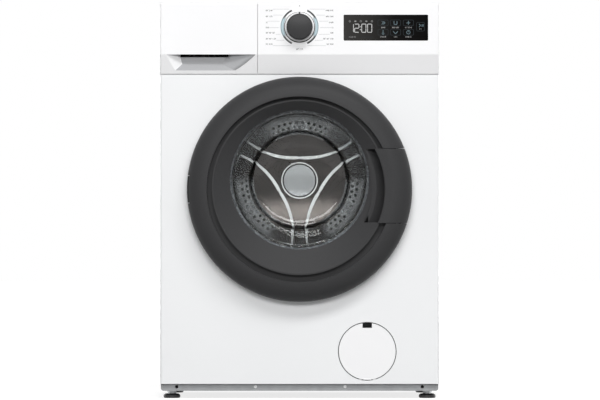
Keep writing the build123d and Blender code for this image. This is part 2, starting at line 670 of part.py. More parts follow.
def door_glass():
    """Pressed glass bowl with the flange by which the frames clamp it."""
    outer = [(0, 95), (0.27, 93.5), (0.54, 87), (0.703, 76), (0.797, 62), (0.885, 36), (0.939, 12), (0.966, -6)]
    inner = [(0.932, -6), (0.905, 10), (0.851, 34), (0.767, 59), (0.682, 71.5), (0.53, 82), (0.267, 88.5), (0, 90)]
    flange = [
        (GLASS_R - 5, -19), (GLASS_R + 17, -19), (GLASS_R + 17, -24), (GLASS_R - 10, -24),
    ]
    bowl = [(share * GLASS_R, depth) for share, depth in outer]
    hollow = [(share * GLASS_R, depth) for share, depth in inner]
    return turned_points(bowl + flange + hollow, 0, DRUM_Z)


def door_inner_frame():
    """Back moulding of the door: clamps the glass and carries the hinge knuckles."""
    plate_y0, plate_y1 = front(-9), front(-5)
    frame = rod_y(0, DOOR_Z, DOOR_R - 12 - SEAT, plate_y0, plate_y1)
    frame += rod_y(0, DRUM_Z, GLASS_R + 12, front(-19), plate_y1)
    frame -= rod_y(0, DRUM_Z, GLASS_R + 4, front(-20), plate_y1 + 1)
    frame -= block(-DOOR_R, HINGE_X + 24, front(-20), front(0), DOOR_Z - HINGE_HALF, DOOR_Z + HINGE_HALF)
    y = front(HINGE_DEPTH)
    for z0, z1 in ((DOOR_Z + 30.5, DOOR_Z + 44), (DOOR_Z - 44, DOOR_Z - 30.5)):
        frame += block(HINGE_X - 6.5, HINGE_X + 8, y, plate_y0 + 1, z0, z1)
        frame += rod_z(HINGE_X, y, 6.5, z0, z1)
        frame -= rod_z(HINGE_X, y, 4.0 + FIT, z0 - 1, z1 + 1)
    frame -= block(*HOOK_SLOT, plate_y0 - 1, plate_y1 + 1, DOOR_Z - 8, DOOR_Z + 8)
    for angle in (20, 65, 115, 160, 200, 245, 295, 340):
        screw_r = GROOVE_R - 9.5
        x, z = screw_r * cos(radians(angle)), DOOR_Z + screw_r * sin(radians(angle))
        frame -= rod_y(x, z, 3.2, plate_y1 - 2.2, plate_y1 + 1)
    return frame


def hinge_bracket():
    """Cast bracket on the front panel; its gooseneck ends in the two hinge pins."""
    y = front(HINGE_DEPTH)
    plate = block(HINGE_X + 6, HINGE_X + 38, front(-2), FRONT_Y, DOOR_Z - 60, DOOR_Z + 60)
    arm = [
        (HINGE_X, y - 4), (HINGE_X + 17, y - 4), (HINGE_X + 17, front(-1)), (HINGE_X + 9, front(-1)),
        (HINGE_X + 9, y + 4), (HINGE_X, y + 4),
    ]
    bracket = plate + plate_xy(arm, DOOR_Z - 28, DOOR_Z + 28)
    bracket += rod_z(HINGE_X, y, 6.0, DOOR_Z - 28, DOOR_Z + 28)
    bracket += rod_z(HINGE_X, y, 4.0, DOOR_Z - 43, DOOR_Z + 43)
    for z in (DOOR_Z - 48, DOOR_Z + 48):
        bracket -= rod_y(HINGE_X + 26, z, 3.2, front(-4), front(1))
    half = HINGE_HALF - 1.5
    shroud = turned(ring_outline(0, GROOVE_R, -5), 0, DOOR_Z)
    shroud &= block(-DOOR_R - 1, 5 - DOOR_R, front(HINGE_DEPTH + 8), front(-5), DOOR_Z - half, DOOR_Z + half)
    bracket += shroud
    return bracket + block(4 - DOOR_R, HINGE_X + 12, front(-7), front(-5), DOOR_Z - 28, DOOR_Z + 28)


def handle_pin():
    return rod_z(HANDLE_X, front(HANDLE_DEPTH), 2.5 - 0.02, HANDLE_Z - 83, HANDLE_Z + 83)


def door_handle():
    """Grip that closes the gap in the ring and turns on the pin."""
    wall = 3.5
    crown_x = DOOR_R - RING_WIDTH
    inner_r = HANDLE_INNER_R
    profile = Curve() + [
        EllipticalCenterArc((crown_x, RING_WAIST), RING_WIDTH, RING_CROWN, -90, arc_size=90),
        Line((DOOR_R, -14), (DOOR_R, -9.5)),
        Line((DOOR_R, -9.5), (DOOR_R - wall, -9.5)),
        Line((DOOR_R - wall, -9.5), (DOOR_R - wall, -14)),
        EllipticalCenterArc((crown_x, RING_WAIST), RING_WIDTH - wall, RING_CROWN - wall, -90, arc_size=90),
        Line((crown_x, -52 + wall), (inner_r + 1, -51 + wall)),
        Line((inner_r + 1, -51 + wall), (inner_r, -50.4)),
        Line((inner_r, -50.4), (inner_r + 2, -51.6)),
        Line((inner_r + 2, -51.6), (crown_x, -52)),
    ]
    grip = turned(profile, 0, DOOR_Z) & handle_zone(-HANDLE_GAP, front(-60), front(0))
    y = front(HANDLE_DEPTH)
    inside = turned(ring_outline(1, inner_r + 3, -10), 0, DOOR_Z)
    for z0 in (HANDLE_Z - HANDLE_HEIGHT / 2 + 3, HANDLE_Z + HANDLE_HEIGHT / 2 - 7):
        ear = block(HANDLE_X - 5, HANDLE_X + 5, front(-51), y, z0, z0 + 4) + rod_z(HANDLE_X, y, 5.0, z0, z0 + 4)
        grip += ear & inside
    grip += block(HANDLE_X - 8, HANDLE_X + 8, front(-50), front(-40), DOOR_Z - 8, DOOR_Z + 8) & inside
    return grip - rod_z(HANDLE_X, y, 2.5 + FIT, HANDLE_Z - 84, HANDLE_Z + 84)


def door_hook():
    y = front(HANDLE_DEPTH)
    z0, z1 = DOOR_Z - 4, DOOR_Z + 4
    outline = [
        (HANDLE_X - 5, front(-40)), (HANDLE_X + 5, front(-40)), (HANDLE_X + 5, front(5)),
        (HANDLE_X + 13, front(7)), (HANDLE_X + 5, front(15)), (HANDLE_X - 3, front(15)), (HANDLE_X - 5, front(5)),
    ]
    hook = plate_xy(outline, z0, z1)
    return hook - rod_z(HANDLE_X, y, 2.5 + FIT, z0 - 1, z1 + 1)


def door_lock():
    """Interlock behind the front panel, with the slot the hook enters."""
    lock = block(HANDLE_X - 18, HANDLE_X + 32, front(SHEET), front(22), DOOR_Z - 30, DOOR_Z + 60)
    lock -= block(*HOOK_SLOT, FRONT_Y, front(19), DOOR_Z - 12, DOOR_Z + 12)
    return lock


def door_gasket():
    """Rubber bellows from the front panel collar to the tub, with the lip round the glass."""
    seat = OPENING_R - SEAT
    skin = OPENING_R - 3
    fold, inner_fold = OPENING_R - 9, OPENING_R - 12
    lip = GLASS_R - 3.4
    points = [
        (seat, 1), (seat, 20), (fold, 30), (fold, 42), (seat, TUB_FRONT - 12), (seat, TUB_FRONT), (skin, TUB_FRONT),
        (skin, TUB_FRONT - 10), (inner_fold, 44), (inner_fold, 28), (skin, 18), (skin, 8), (lip, 12), (lip, 9),
        (skin, 4), (skin, 1),
    ]
    return turned_points(points, 0, DRUM_Z)


# Wash unit
def polar(radius, angle):
    """Point about the drum axis, angle from the right, upwards."""
    return radius * cos(radians(angle)), DRUM_Z + radius * sin(radians(angle))


def lug(angle, r0, r1, width, y0, y1):
    """Radial block standing out of the tub wall."""
    piece = block(r0, r1, y0, y1, DRUM_Z - width / 2, DRUM_Z + width / 2)
    return about_y(piece, 0, DRUM_Z, -angle)


def tub_front():
    outer = TUB_OUTER
    points = [
        (OPENING_R, 48), (OPENING_R + 4, 48), (OPENING_R + 4, TUB_FRONT), (outer, TUB_FRONT),
        (outer, TUB_SPLIT - 8), (outer + 10, TUB_SPLIT - 8), (outer + 10, TUB_SPLIT), (TUB_R, TUB_SPLIT),
        (TUB_R, TUB_FRONT + 4), (OPENING_R, TUB_FRONT + 4),
    ]
    tub = turned_points(points, 0, DRUM_Z)
    for i in range(4):
        y = TUB_FRONT + 36 + 34 * i
        tub += turned_points([(outer - 1, y), (outer + TUB_RIB, y), (outer + TUB_RIB, y + 4), (outer - 1, y + 4)], 0, DRUM_Z)
    sump_y0, sump_y1 = front(TUB_FRONT), front(SUMP_BACK)
    bore = rod_y(0, DRUM_Z, TUB_R, sump_y0 - 1, sump_y1 + 1)
    sump = block(-SUMP_HALF, SUMP_HALF, sump_y0, sump_y1, SUMP_Z, DRUM_Z - TUB_R + 40) - bore
    tub += sump
    tub += rod_z(0, front(SUMP_HOSE_Y), 18.0, SUMP_HOSE_TOP, SUMP_Z + 2)
    hollow = block(
        3 - SUMP_HALF, SUMP_HALF - 3, sump_y0 + 4, sump_y1 - 3, SUMP_Z + 3, DRUM_Z - TUB_R + 20,
    )
    tub -= hollow
    tub -= rod_z(0, front(SUMP_HOSE_Y), 14.0, SUMP_HOSE_TOP - 1, SUMP_Z + 4)
    for x in (-HEATER_HALF, HEATER_HALF):
        tub -= rod_y(x, HEATER_Z, 4.5, sump_y0 - 1, sump_y0 + 5)
    spigot = rod_z(DISPENSER_HOSE_X, front(DISPENSER_HOSE_Y), 15.0, DRUM_Z + TUB_R * 0.37, DISPENSER_HOSE_LOW)
    spigot -= rod_y(0, DRUM_Z, TUB_R + 2, front(100), front(TUB_SPLIT))
    tub += spigot
    bore_z = DRUM_Z + sqrt(TUB_R**2 - (abs(DISPENSER_HOSE_X) + 12.5)**2) - 10
    tub -= rod_z(DISPENSER_HOSE_X, front(DISPENSER_HOSE_Y), 12.5, bore_z, DISPENSER_HOSE_LOW + 1)
    return tub


def heater_element():
    """Hairpin heating tube in the sump, on a plate outside the tub front."""
    y0, y1 = front(TUB_FRONT - 6), front(SUMP_BACK - 36)
    plate = block(-HEATER_HALF - 10, HEATER_HALF + 10, y0, front(TUB_FRONT), HEATER_Z - 11, HEATER_Z + 11)
    path = Line((HEATER_HALF, y0 + 3), (HEATER_HALF, y1)) + ThreePointArc(
        (HEATER_HALF, y1), (0, y1 + HEATER_HALF), (-HEATER_HALF, y1)
    ) + Line((-HEATER_HALF, y1), (-HEATER_HALF, y0 + 3))
    section = Plane(origin=(HEATER_HALF, y0 + 3, 0), z_dir=(0, 1, 0)) * Circle(4.0)
    tube = Pos(0, 0, HEATER_Z) * sweep(section, path=path)
    terminals = [rod_y(x, HEATER_Z, 3.0, y0 - 10, y0) for x in (-HEATER_HALF, HEATER_HALF)]
    return plate + tube + terminals


def tub_rear():
    outer = TUB_OUTER
    hub_front = TUB_BACK - 6
    points = [
        (TUB_R, TUB_SPLIT), (outer + 10, TUB_SPLIT), (outer + 10, TUB_SPLIT + 8), (outer, TUB_SPLIT + 8),
        (outer, TUB_BACK + 5), (45, TUB_BACK + 5), (45, HUB_BACK), (26, HUB_BACK), (26, REAR_BEARING),
        (23, REAR_BEARING), (23, FRONT_BEARING + 16), (31, FRONT_BEARING + 16), (31, FRONT_BEARING),
        (36, FRONT_BEARING), (36, hub_front), (45, hub_front), (45, TUB_BACK), (TUB_R, TUB_BACK),
    ]
    tub = turned_points(points, 0, DRUM_Z)
    rib_y0, rib_y1 = front(TUB_BACK + 4), front(TUB_BACK + 15)
    for i in range(12):
        rib = lug(15 + 30 * i, 44, outer - 4, 4, rib_y0, rib_y1)
        tub += rib
    for ring_r in (TUB_R - 142, TUB_R - 72):
        tub += pipe_y(0, DRUM_Z, ring_r + 2, ring_r - 2, rib_y0, rib_y1)
    for i in range(3):
        y = TUB_SPLIT + 46 + 36 * i
        tub += turned_points([(outer - 1, y), (outer + TUB_RIB, y), (outer + TUB_RIB, y + 4), (outer - 1, y + 4)], 0, DRUM_Z)
    y = front(TUB_SPLIT)
    for sign in (-1, 1):
        ear = block(
            sign * SPRING_X - 11, sign * SPRING_X + 11, y + 9, y + 16, SPRING_LOW_Z - 30, SPRING_LOW_Z + 10,
        )
        ear -= rod_y(0, DRUM_Z, TUB_R + 2, y, y + 20)
        ear -= rod_y(sign * SPRING_X, SPRING_LOW_Z, 5.0, y, y + 20)
        tub += ear
        foot_lug = block(
            sign * DAMPER_TOP_X - 11, sign * DAMPER_TOP_X + 11, y + 12, y + 20,
            DAMPER_TOP_Z - 10, DAMPER_TOP_Z + 60,
        )
        foot_lug -= rod_y(0, DRUM_Z, TUB_R + 2, y, y + 30)
        tub += foot_lug
        tub += rod_y(sign * DAMPER_TOP_X, DAMPER_TOP_Z, 5.0, y - 12, y + 14)
    for x in MOTOR_EARS:
        hanger = block(
            x - 8, x + 8, front(TUB_BACK - 96), front(TUB_BACK - 16), MOTOR_EAR_Z, DRUM_Z - TUB_R * 0.7,
        )
        hanger -= rod_y(0, DRUM_Z, TUB_R + 2, front(TUB_BACK - 106), front(TUB_BACK - 6))
        tub += hanger
    return tub


def drum_bearings():
    """The two ball bearings of the drum shaft, drawn as closed rings."""
    large = pipe_y(0, DRUM_Z, 31 - FIT / 2, SHAFT_R + FIT, front(FRONT_BEARING), front(FRONT_BEARING + 16))
    small = pipe_y(0, DRUM_Z, 26 - FIT / 2, 12.5 + FIT, front(REAR_BEARING), front(REAR_BEARING + 15))
    return Compound(children=[large, small])


def shaft_seal():
    return pipe_y(0, DRUM_Z, 36 - FIT / 2, SHAFT_R + FIT, front(FRONT_BEARING - 9), front(FRONT_BEARING))


def front_counterweight():
    """Cast block bolted to the tub front, open at the bottom for the heater."""
    y0, y1 = front(28), front(TUB_FRONT)
    block_ring = pipe_y(0, DRUM_Z, TUB_R, OPENING_R + 20, y0, y1)
    block_ring -= block(-75, 75, y0 - 1, y1 + 1, DRUM_Z - TUB_R - 48, DRUM_Z - 100)
    for angle in (30, 90, 150):
        x, z = polar(TUB_R - 30, angle)
        block_ring -= rod_y(x, z, 9, y0 - 1, y0 + 14)
        block_ring += rod_y(x, z, 6.5, y0 + 8, y0 + 14)
    return block_ring


def top_counterweight():
    outer = TUB_OUTER
    weight = block(-70, TUB_R - 62, front(98), front(208), DRUM_Z + TUB_R - 102, DRUM_Z + outer + 62)
    return weight - rod_y(0, DRUM_Z, outer + TUB_RIB + SEAT, front(90), front(215))


def drum_shell():
    """Stainless drum wall with the rolled front opening."""
    inner = DRUM_R - 1
    points = [
        (DRUM_R, DRUM_FRONT + 8), (DRUM_R, DRUM_BACK), (inner, DRUM_BACK), (inner, DRUM_FRONT + 9),
        (inner - 8, DRUM_FRONT + 1), (DRUM_MOUTH_R + 4, DRUM_FRONT + 1), (DRUM_MOUTH_R + 1, DRUM_FRONT + 8),
        (DRUM_MOUTH_R, DRUM_FRONT + 8), (DRUM_MOUTH_R + 3, DRUM_FRONT), (DRUM_R - 8, DRUM_FRONT),
    ]
    return turned_points(points, 0, DRUM_Z)


def drum_arms(inset, depth0, depth1):
    """Three flared arms about the hub, pressed out of the drum back towards the door with sloping flanks."""
    flank = 5.0
    drawn_reach = 199.0
    stretch = (DRUM_R - 42) / drawn_reach
    widths = ((30, 44), (56, 30), (84, 21), (118, 18), (149, 20), (181, 30), (drawn_reach, 44))

    def outline(margin, depth):
        right = [(half - margin, radius * stretch - margin) for radius, half in widths]
        left = [(-x, z) for x, z in right[::-1]]
        loop = Spline(*right) + Line(right[-1], left[0]) + Spline(*left) + Line(left[-1], right[0])
        return Plane.XZ.offset(-front(depth)) * make_face(loop)

    arm = Pos(0, 0, DRUM_Z) * loft([outline(inset + flank, depth0), outline(inset, depth1)], ruled=True)
    arms = turned_points(
        [(0, depth0), (52 - inset - flank, depth0), (52 - inset, depth1), (0, depth1)], 0, DRUM_Z,
    )
    for i in range(LIFTER_COUNT):
        arms += about_y(arm, 0, DRUM_Z, 60 + 360 / LIFTER_COUNT * i)
    return arms


def drum_back():
    """Pressed rear disc of the drum: three raised arms, a raised hub, and two rows of drain holes."""
    edge = DRUM_R - 1 - SEAT
    back = DRUM_BACK
    sheet = 1.5
    rise = 9.0
    rim = DRUM_R - 30
    face = back - rise - sheet
    disc = turned_points(
        [
            (0, back - sheet), (rim, back - sheet), (rim + 8, face), (edge, face),
            (edge, back - rise), (rim + 9, back - rise), (rim + 1, back), (0, back),
        ],
        0, DRUM_Z,
    )
    hub = turned_points(
        [
            (0, face - 5), (DRUM_HUB_R - 4, face - 5), (DRUM_HUB_R - 1, face - 4), (DRUM_HUB_R + 2, face + 1),
            (0, face + 1),
        ],
        0, DRUM_Z,
    )
    disc += drum_arms(0, face, back - sheet) + hub
    disc -= drum_arms(2.2, back - rise + 2, back + 1)
    pitch = degrees(12.7 / 122)
    for row, radius in enumerate((118.0, 128.5)):
        for lobe in (90, 210, 330):
            for i in range(-5, 6 - row):
                x, z = polar(radius, lobe + (i + row / 2) * pitch)
                disc -= rod_y(x, z, 2.3, front(back) - 12, front(back) + 1)
    return disc


def drum_lifters():
    """Three moulded paddles along the drum wall."""
    base = DRUM_R - 1 - SEAT
    y0, y1 = front(DRUM_FRONT + 22), front(DRUM_BACK - 14)
    height = 52.0
    lifters = []
    for i in range(LIFTER_COUNT):
        angle = 30 + 360 / LIFTER_COUNT * i
        foot_width = 62.0
        crown_width = 22.0
        section = [
            (base + 10, DRUM_Z - foot_width / 2), (base + 10, DRUM_Z + foot_width / 2),
            (base - 12, DRUM_Z + foot_width / 2 - 4), (base - height + 6, DRUM_Z + crown_width / 2 + 3),
            (base - height, DRUM_Z + crown_width / 2 - 4), (base - height, DRUM_Z - crown_width / 2 + 4),
            (base - height + 6, DRUM_Z - crown_width / 2 - 3), (base - 12, DRUM_Z - foot_width / 2 + 4),
        ]
        paddle = plate_xz(section, y0, y1) & rod_y(0, DRUM_Z, base, y0, y1)
        slope = [(y0 - 1, 0), (y0 - 1, height + 2), (y0 + 24, height + 2)]
        nose = [(base - h - 1, y) for y, h in slope]
        cut = plate_xy([(x, y) for x, y in nose], DRUM_Z - 60, DRUM_Z + 60)
        paddle -= cut
        lifters.append(single(about_y(paddle, 0, DRUM_Z, -angle)))
    return Compound(children=lifters)


def drum_spider():
    """Cast cross that bolts to the drum back, with the drive shaft pressed in."""
    y0, y1 = front(DRUM_BACK), front(DRUM_BACK + 10)
    spider = rod_y(0, DRUM_Z, 34, y0, y1)
    for angle in (90, 210, 330):
        spider += lug(angle, 0, DRUM_R - 8, 34, y0, y1 - 2)
        spider += lug(angle, 0, DRUM_R - 40, 10, y0, y1)
    spider += rod_y(0, DRUM_Z, SHAFT_R, y1 - 2, front(FRONT_BEARING + 18))
    spider += rod_y(0, DRUM_Z, 12.5, front(FRONT_BEARING + 17), front(PULLEY_FRONT + PULLEY_WIDTH + 12))
    return spider


def drum_pulley():
    """Spoked alloy pulley keyed on the end of the drum shaft."""
    y0 = PULLEY_FRONT
    y1 = PULLEY_FRONT + PULLEY_WIDTH
    web_y0 = y1 - 5
    rim = turned_points(
        [(PULLEY_R - 6, y0), (PULLEY_R, y0), (PULLEY_R, y1), (PULLEY_R - 6, y1)], 0, DRUM_Z,
    )
    hub = pipe_y(0, DRUM_Z, 26, 12.5 + FIT / 2, front(web_y0), front(y1 + 10))
    for i in range(6):
        hub += lug(60 * i, 20, PULLEY_R - 4, 24, front(web_y0), front(y1))
    hub -= rod_y(0, DRUM_Z, 12.5 + FIT / 2, front(y0), front(y1 + 11))
    return rim + hub


def motor_body():
    y0, y1 = front(PULLEY_FRONT - 160), front(PULLEY_FRONT - 8)
    motor = rod_y(MOTOR_X, MOTOR_Z, MOTOR_R, y0 + 14, y1 - 14)
    motor += rod_y(MOTOR_X, MOTOR_Z, MOTOR_R - 14, y0, y1)
    for i in range(10):
        fin = block(MOTOR_X - 3, MOTOR_X + 3, y0 + 20, y1 - 20, MOTOR_Z, MOTOR_Z + MOTOR_R + 3)
        motor += about_y(fin, MOTOR_X, MOTOR_Z, 90 + 20 * i)
    for x in MOTOR_EARS:
        inner = MOTOR_X + (20 if x > MOTOR_X else -20)
        x0, x1 = min(x - 8, inner), max(x + 8, inner)
        motor += block(x0, x1, front(TUB_BACK - 86), front(TUB_BACK - 26), MOTOR_EAR_Z - 22, MOTOR_EAR_Z)
    bore = rod_y(MOTOR_X, MOTOR_Z, 7.0 + FIT, y1 - 90, y1 + 1)
    return motor - bore


def motor_pulley():
    """Rotor shaft with the small belt pulley."""
    y1 = front(PULLEY_FRONT - 8)
    rotor = rod_y(MOTOR_X, MOTOR_Z, 7.0, y1 - 88, front(PULLEY_FRONT + PULLEY_WIDTH + 4))
    rotor += rod_y(MOTOR_X, MOTOR_Z, MOTOR_PULLEY_R, front(PULLEY_FRONT - 2), front(PULLEY_FRONT + PULLEY_WIDTH + 2))
    for y in (PULLEY_FRONT - 2, PULLEY_FRONT + PULLEY_WIDTH):
        rotor += rod_y(MOTOR_X, MOTOR_Z, MOTOR_PULLEY_R + 4, front(y), front(y + 2))
    return rotor


def belt_face(grow):
    """Loop round the two pulleys, grown outwards by a given amount."""
    r1, r2 = PULLEY_R + grow, MOTOR_PULLEY_R + grow
    dx, dz = MOTOR_X, MOTOR_Z - DRUM_Z
    span = hypot(dx, dz)
    heading = atan2(dz, dx)
    spread = acos((r1 - r2) / span)

    def on(cx, cz, radius, angle):
        return cx + radius * cos(angle), cz + radius * sin(angle)

    a1, a2 = on(0, DRUM_Z, r1, heading + spread), on(MOTOR_X, MOTOR_Z, r2, heading + spread)
    b1, b2 = on(0, DRUM_Z, r1, heading - spread), on(MOTOR_X, MOTOR_Z, r2, heading - spread)
    far = on(0, DRUM_Z, r1, heading + radians(180))
    near = on(MOTOR_X, MOTOR_Z, r2, heading)
    loop = Line(a1, a2) + ThreePointArc(a2, near, b2) + Line(b2, b1) + ThreePointArc(b1, far, a1)
    return make_face(loop)


def drive_belt():
    y0, y1 = front(PULLEY_FRONT + 2), front(PULLEY_FRONT + PULLEY_WIDTH - 2)
    place = Plane.XZ.offset(-y1)
    return extrude(place * belt_face(3.3), amount=y1 - y0) - extrude(place * belt_face(0.3), amount=y1 - y0)


def damper_frame(sign):
    """Placement of one damper: its Z axis runs from the lower eye to the upper eye."""
    rise = DAMPER_TOP_Z - DAMPER_LOW_Z
    lean = DAMPER_TOP_X - DAMPER_LOW_X
    tilt = degrees(atan2(sign * lean, rise))
    return Pos(sign * DAMPER_LOW_X, front(TUB_SPLIT), DAMPER_LOW_Z) * Rot(0, tilt, 0), hypot(rise, lean)


def damper_cylinders():
    cylinders = []
    for sign in (-1, 1):
        place, length = damper_frame(sign)
        body = rod_z(0, 0, 17.0, 18, length * 0.6) + rod_z(0, 0, 9.0, 4, 20)
        body -= rod_z(0, 0, 14.5, 24, length)
        body += rod_y(0, 0, 10.0, -12, 12)
        body -= rod_y(0, 0, 5.0 + FIT, -14, 14)
        cylinders.append(single(place * body))
    return Compound(children=cylinders)


def damper_rods():
    rods = []
    for sign in (-1, 1):
        place, length = damper_frame(sign)
        body = rod_z(0, 0, 11.0, 40, length - 6)
        body += rod_y(0, length, 10.0, -11, 11)
        body = body - rod_y(0, length, 5.0 + FIT, -14, 14)
        rods.append(single(place * body))
    return Compound(children=rods)


def suspension_springs():
    """Hanging springs: wound body with a wire loop at each end."""
    springs = []
    wire = 2.2
    y = front(TUB_SPLIT)
    z0, z1 = SPRING_LOW_Z + 26, SPRING_TOP_Z - 22
    coils = 14
    pitch = (z1 - z0) / coils
    for sign in (-1, 1):
        points = [(0, 0)]
        for i in range(coils):
            points += [(11.5, pitch * i), (13.5, pitch * (i + 0.25)), (13.5, pitch * (i + 0.75))]
        points += [(11.5, z1 - z0), (0, z1 - z0)]
        face = make_face(Polyline(*points, close=True))
        coil = Pos(sign * SPRING_X, y + 6, z0) * revolve(Plane.XZ * face, Axis.Z)
        top, low = SPRING_TOP_Z - 5 + wire + 0.1, SPRING_LOW_Z + 5 - wire - 0.1
        coil += rod_z(sign * SPRING_X, y + 6, wire, z1 - 2, top + wire)
        coil += rod_y(sign * SPRING_X, top, wire, y - 5, y + 6)
        coil += rod_z(sign * SPRING_X, y + 6, wire, low - wire, z0 + 2)
        coil += rod_y(sign * SPRING_X, low, wire, y + 6, y + 19)
        springs.append(single(coil))
    return Compound(children=springs)


# Drain side
def filter_pocket():
    """Moulded collar behind the front panel that leads to the drain filter."""
    radius = FILTER_R + 2.5
    outer = radius + WALL
    pocket = pipe_y(FILTER_X, FILTER_Z, outer, radius, front(SHEET), front(PUMP_FRONT))
    pocket += pipe_y(FILTER_X, FILTER_Z, outer, 32, front(PUMP_FRONT - WALL), front(PUMP_FRONT))
    pocket -= block(FILTER_X - 22, FILTER_X + 22, front(0), front(8), FILTER_Z - 80, FILTER_Z - 50)
    return pocket


def filter_flap():
    """Round cover over the filter, hung on two tabs at its lower edge."""
    flap = rod_y(FILTER_X, FILTER_Z, FILTER_R - 0.3, front(-1.5), front(1.5))
    notch_z = FILTER_Z + FILTER_R
    flap -= block(FILTER_X - 10, FILTER_X + 10, front(-3), front(3), notch_z - 11, notch_z + 5)
    low = FILTER_Z - FILTER_R
    for x in (FILTER_X - 18, FILTER_X + 12):
        flap += block(x, x + 6, front(1), front(4.5), low + 6, low + 18)
        flap += block(x, x + 6, front(SHEET + 0.25), front(4.5), low - 3.2, low + 8)
    return flap + rod_x(front(-0.2), FLAP_AXIS_Z, 1.8, FILTER_X - 8, FILTER_X + 8)


def drain_filter():
    """Screw-in lint filter with a finger bar."""
    body = rod_y(FILTER_X, FILTER_Z, 30.0 - FIT, front(PUMP_FRONT - 1), front(PUMP_FRONT + 10))
    body += rod_y(FILTER_X, FILTER_Z, 36.0, front(PUMP_FRONT - 10), front(PUMP_FRONT - 3))
    body += rod_y(FILTER_X, FILTER_Z, 28.0, front(PUMP_FRONT - 4), front(PUMP_FRONT))
    bar_y0, bar_y1 = front(PUMP_FRONT - 26), front(PUMP_FRONT - 9)
    body += block(FILTER_X - 28, FILTER_X + 28, bar_y0, bar_y1, FILTER_Z - 4, FILTER_Z + 4)
    cage = pipe_y(FILTER_X, FILTER_Z, 25.0, 22.0, front(PUMP_FRONT + 9), front(PUMP_FRONT + 60))
    for i in range(4):
        depth = PUMP_FRONT + 16 + 11 * i
        cage -= block(FILTER_X - 40, FILTER_X + 40, front(depth), front(depth + 6), FILTER_Z - 6, FILTER_Z + 6)
    return body + cage


def drain_pump():
    """Filter chamber with the pump motor behind it."""
    pump = rod_y(FILTER_X, FILTER_Z, 38.0, front(PUMP_FRONT), front(PUMP_BACK))
    pump -= rod_y(FILTER_X, FILTER_Z, 30.0, front(PUMP_FRONT - 1), front(PUMP_BACK - 24))
    pump += rod_y(FILTER_X, FILTER_Z, 26.0, front(PUMP_BACK), front(PUMP_BACK + 50))
    pump += rod_x(front(SUMP_HOSE_Y), FILTER_Z, 18.0, PUMP_INLET_X, FILTER_X - 34)
    pump -= rod_x(front(SUMP_HOSE_Y), FILTER_Z, 14.0, PUMP_INLET_X - 1, FILTER_X - 28)
    pump += rod_x(front(PUMP_OUTLET_Y), FILTER_Z, 13.0, FILTER_X + 34, PUMP_OUTLET_X)
    pump -= rod_x(front(PUMP_OUTLET_Y), FILTER_Z, 10.0, FILTER_X + 28, PUMP_OUTLET_X + 1)
    pump += block(FILTER_X - 30, FILTER_X + 30, front(80), front(132), FILTER_Z - 42, FILTER_Z - 30)
    return pump


def bent_hose(points_plane, corner, bend, start, end, radius, bore):
    """Hose of two straight runs joined by a quarter bend, drawn in one plane."""
    run_in = Vector(*start) - Vector(*corner)
    run_out = Vector(*end) - Vector(*corner)
    arc_start = Vector(*corner) + run_in.normalized() * bend
    arc_end = Vector(*corner) + run_out.normalized() * bend
    centre = arc_start + run_out.normalized() * bend
    middle = centre + (Vector(*corner) - centre).normalized() * bend
    path = points_plane * (
        Line(start, arc_start) + ThreePointArc(arc_start, middle, arc_end) + Line(arc_end, end)
    )
    section = Plane(origin=path @ 0, z_dir=path % 0)
    hose = sweep(section * Circle(radius), path=path)
    return hose - sweep(section * Circle(bore), path=path)


def sump_hose():
    plane = Plane.XZ.offset(-front(SUMP_HOSE_Y))
    return bent_hose(plane, (0, FILTER_Z), 38, (0, SUMP_HOSE_TOP), (PUMP_INLET_X, FILTER_Z), 18.0, 14.0)


def drain_hose():
    plane = Plane.XY.offset(DRAIN_Z)
    return bent_hose(
        plane, (DRAIN_X, front(PUMP_OUTLET_Y)), 34, (PUMP_OUTLET_X, front(PUMP_OUTLET_Y)),
        (DRAIN_X, BACK_Y - 24), 13.0, 10.0,
    )


def drain_outlet():
    """Hose spigot clipped into the rear panel."""
    outlet = rod_y(DRAIN_X, DRAIN_Z, 13.0, BACK_Y - 24, BACK_Y)
    outlet += rod_y(DRAIN_X, DRAIN_Z, 20.0, BACK_Y, BACK_Y + 3)
    outlet += rod_y(DRAIN_X, DRAIN_Z, 11.0, BACK_Y + 3, BACK_Y + INLET_PROUD)
    return outlet - rod_y(DRAIN_X, DRAIN_Z, 8.0, BACK_Y - 25, BACK_Y + INLET_PROUD + 1)


def cord_gland():
    """Strain relief for the mains lead."""
    gland = rod_y(GLAND_X, GLAND_Z, 14.0, BACK_Y, BACK_Y + 5)
    gland += rod_y(GLAND_X, GLAND_Z, 9.0 - SEAT, BACK_Y - 14, BACK_Y)
    gland += pipe_y(GLAND_X, GLAND_Z, 12.0, 6.0, BACK_Y - 14, BACK_Y - SHEET)
    return gland - rod_y(GLAND_X, GLAND_Z, 4.2, BACK_Y - 15, BACK_Y + 6)


def transit_caps():
    caps = []
    for x, z in transit_places():
        cap = rod_y(x, z, 18.0, BACK_Y, BACK_Y + 3)
        cap += pipe_y(x, z, 14.0 - SEAT, 11.0, BACK_Y - 8, BACK_Y)
        caps.append(cap)
    return Compound(children=caps)


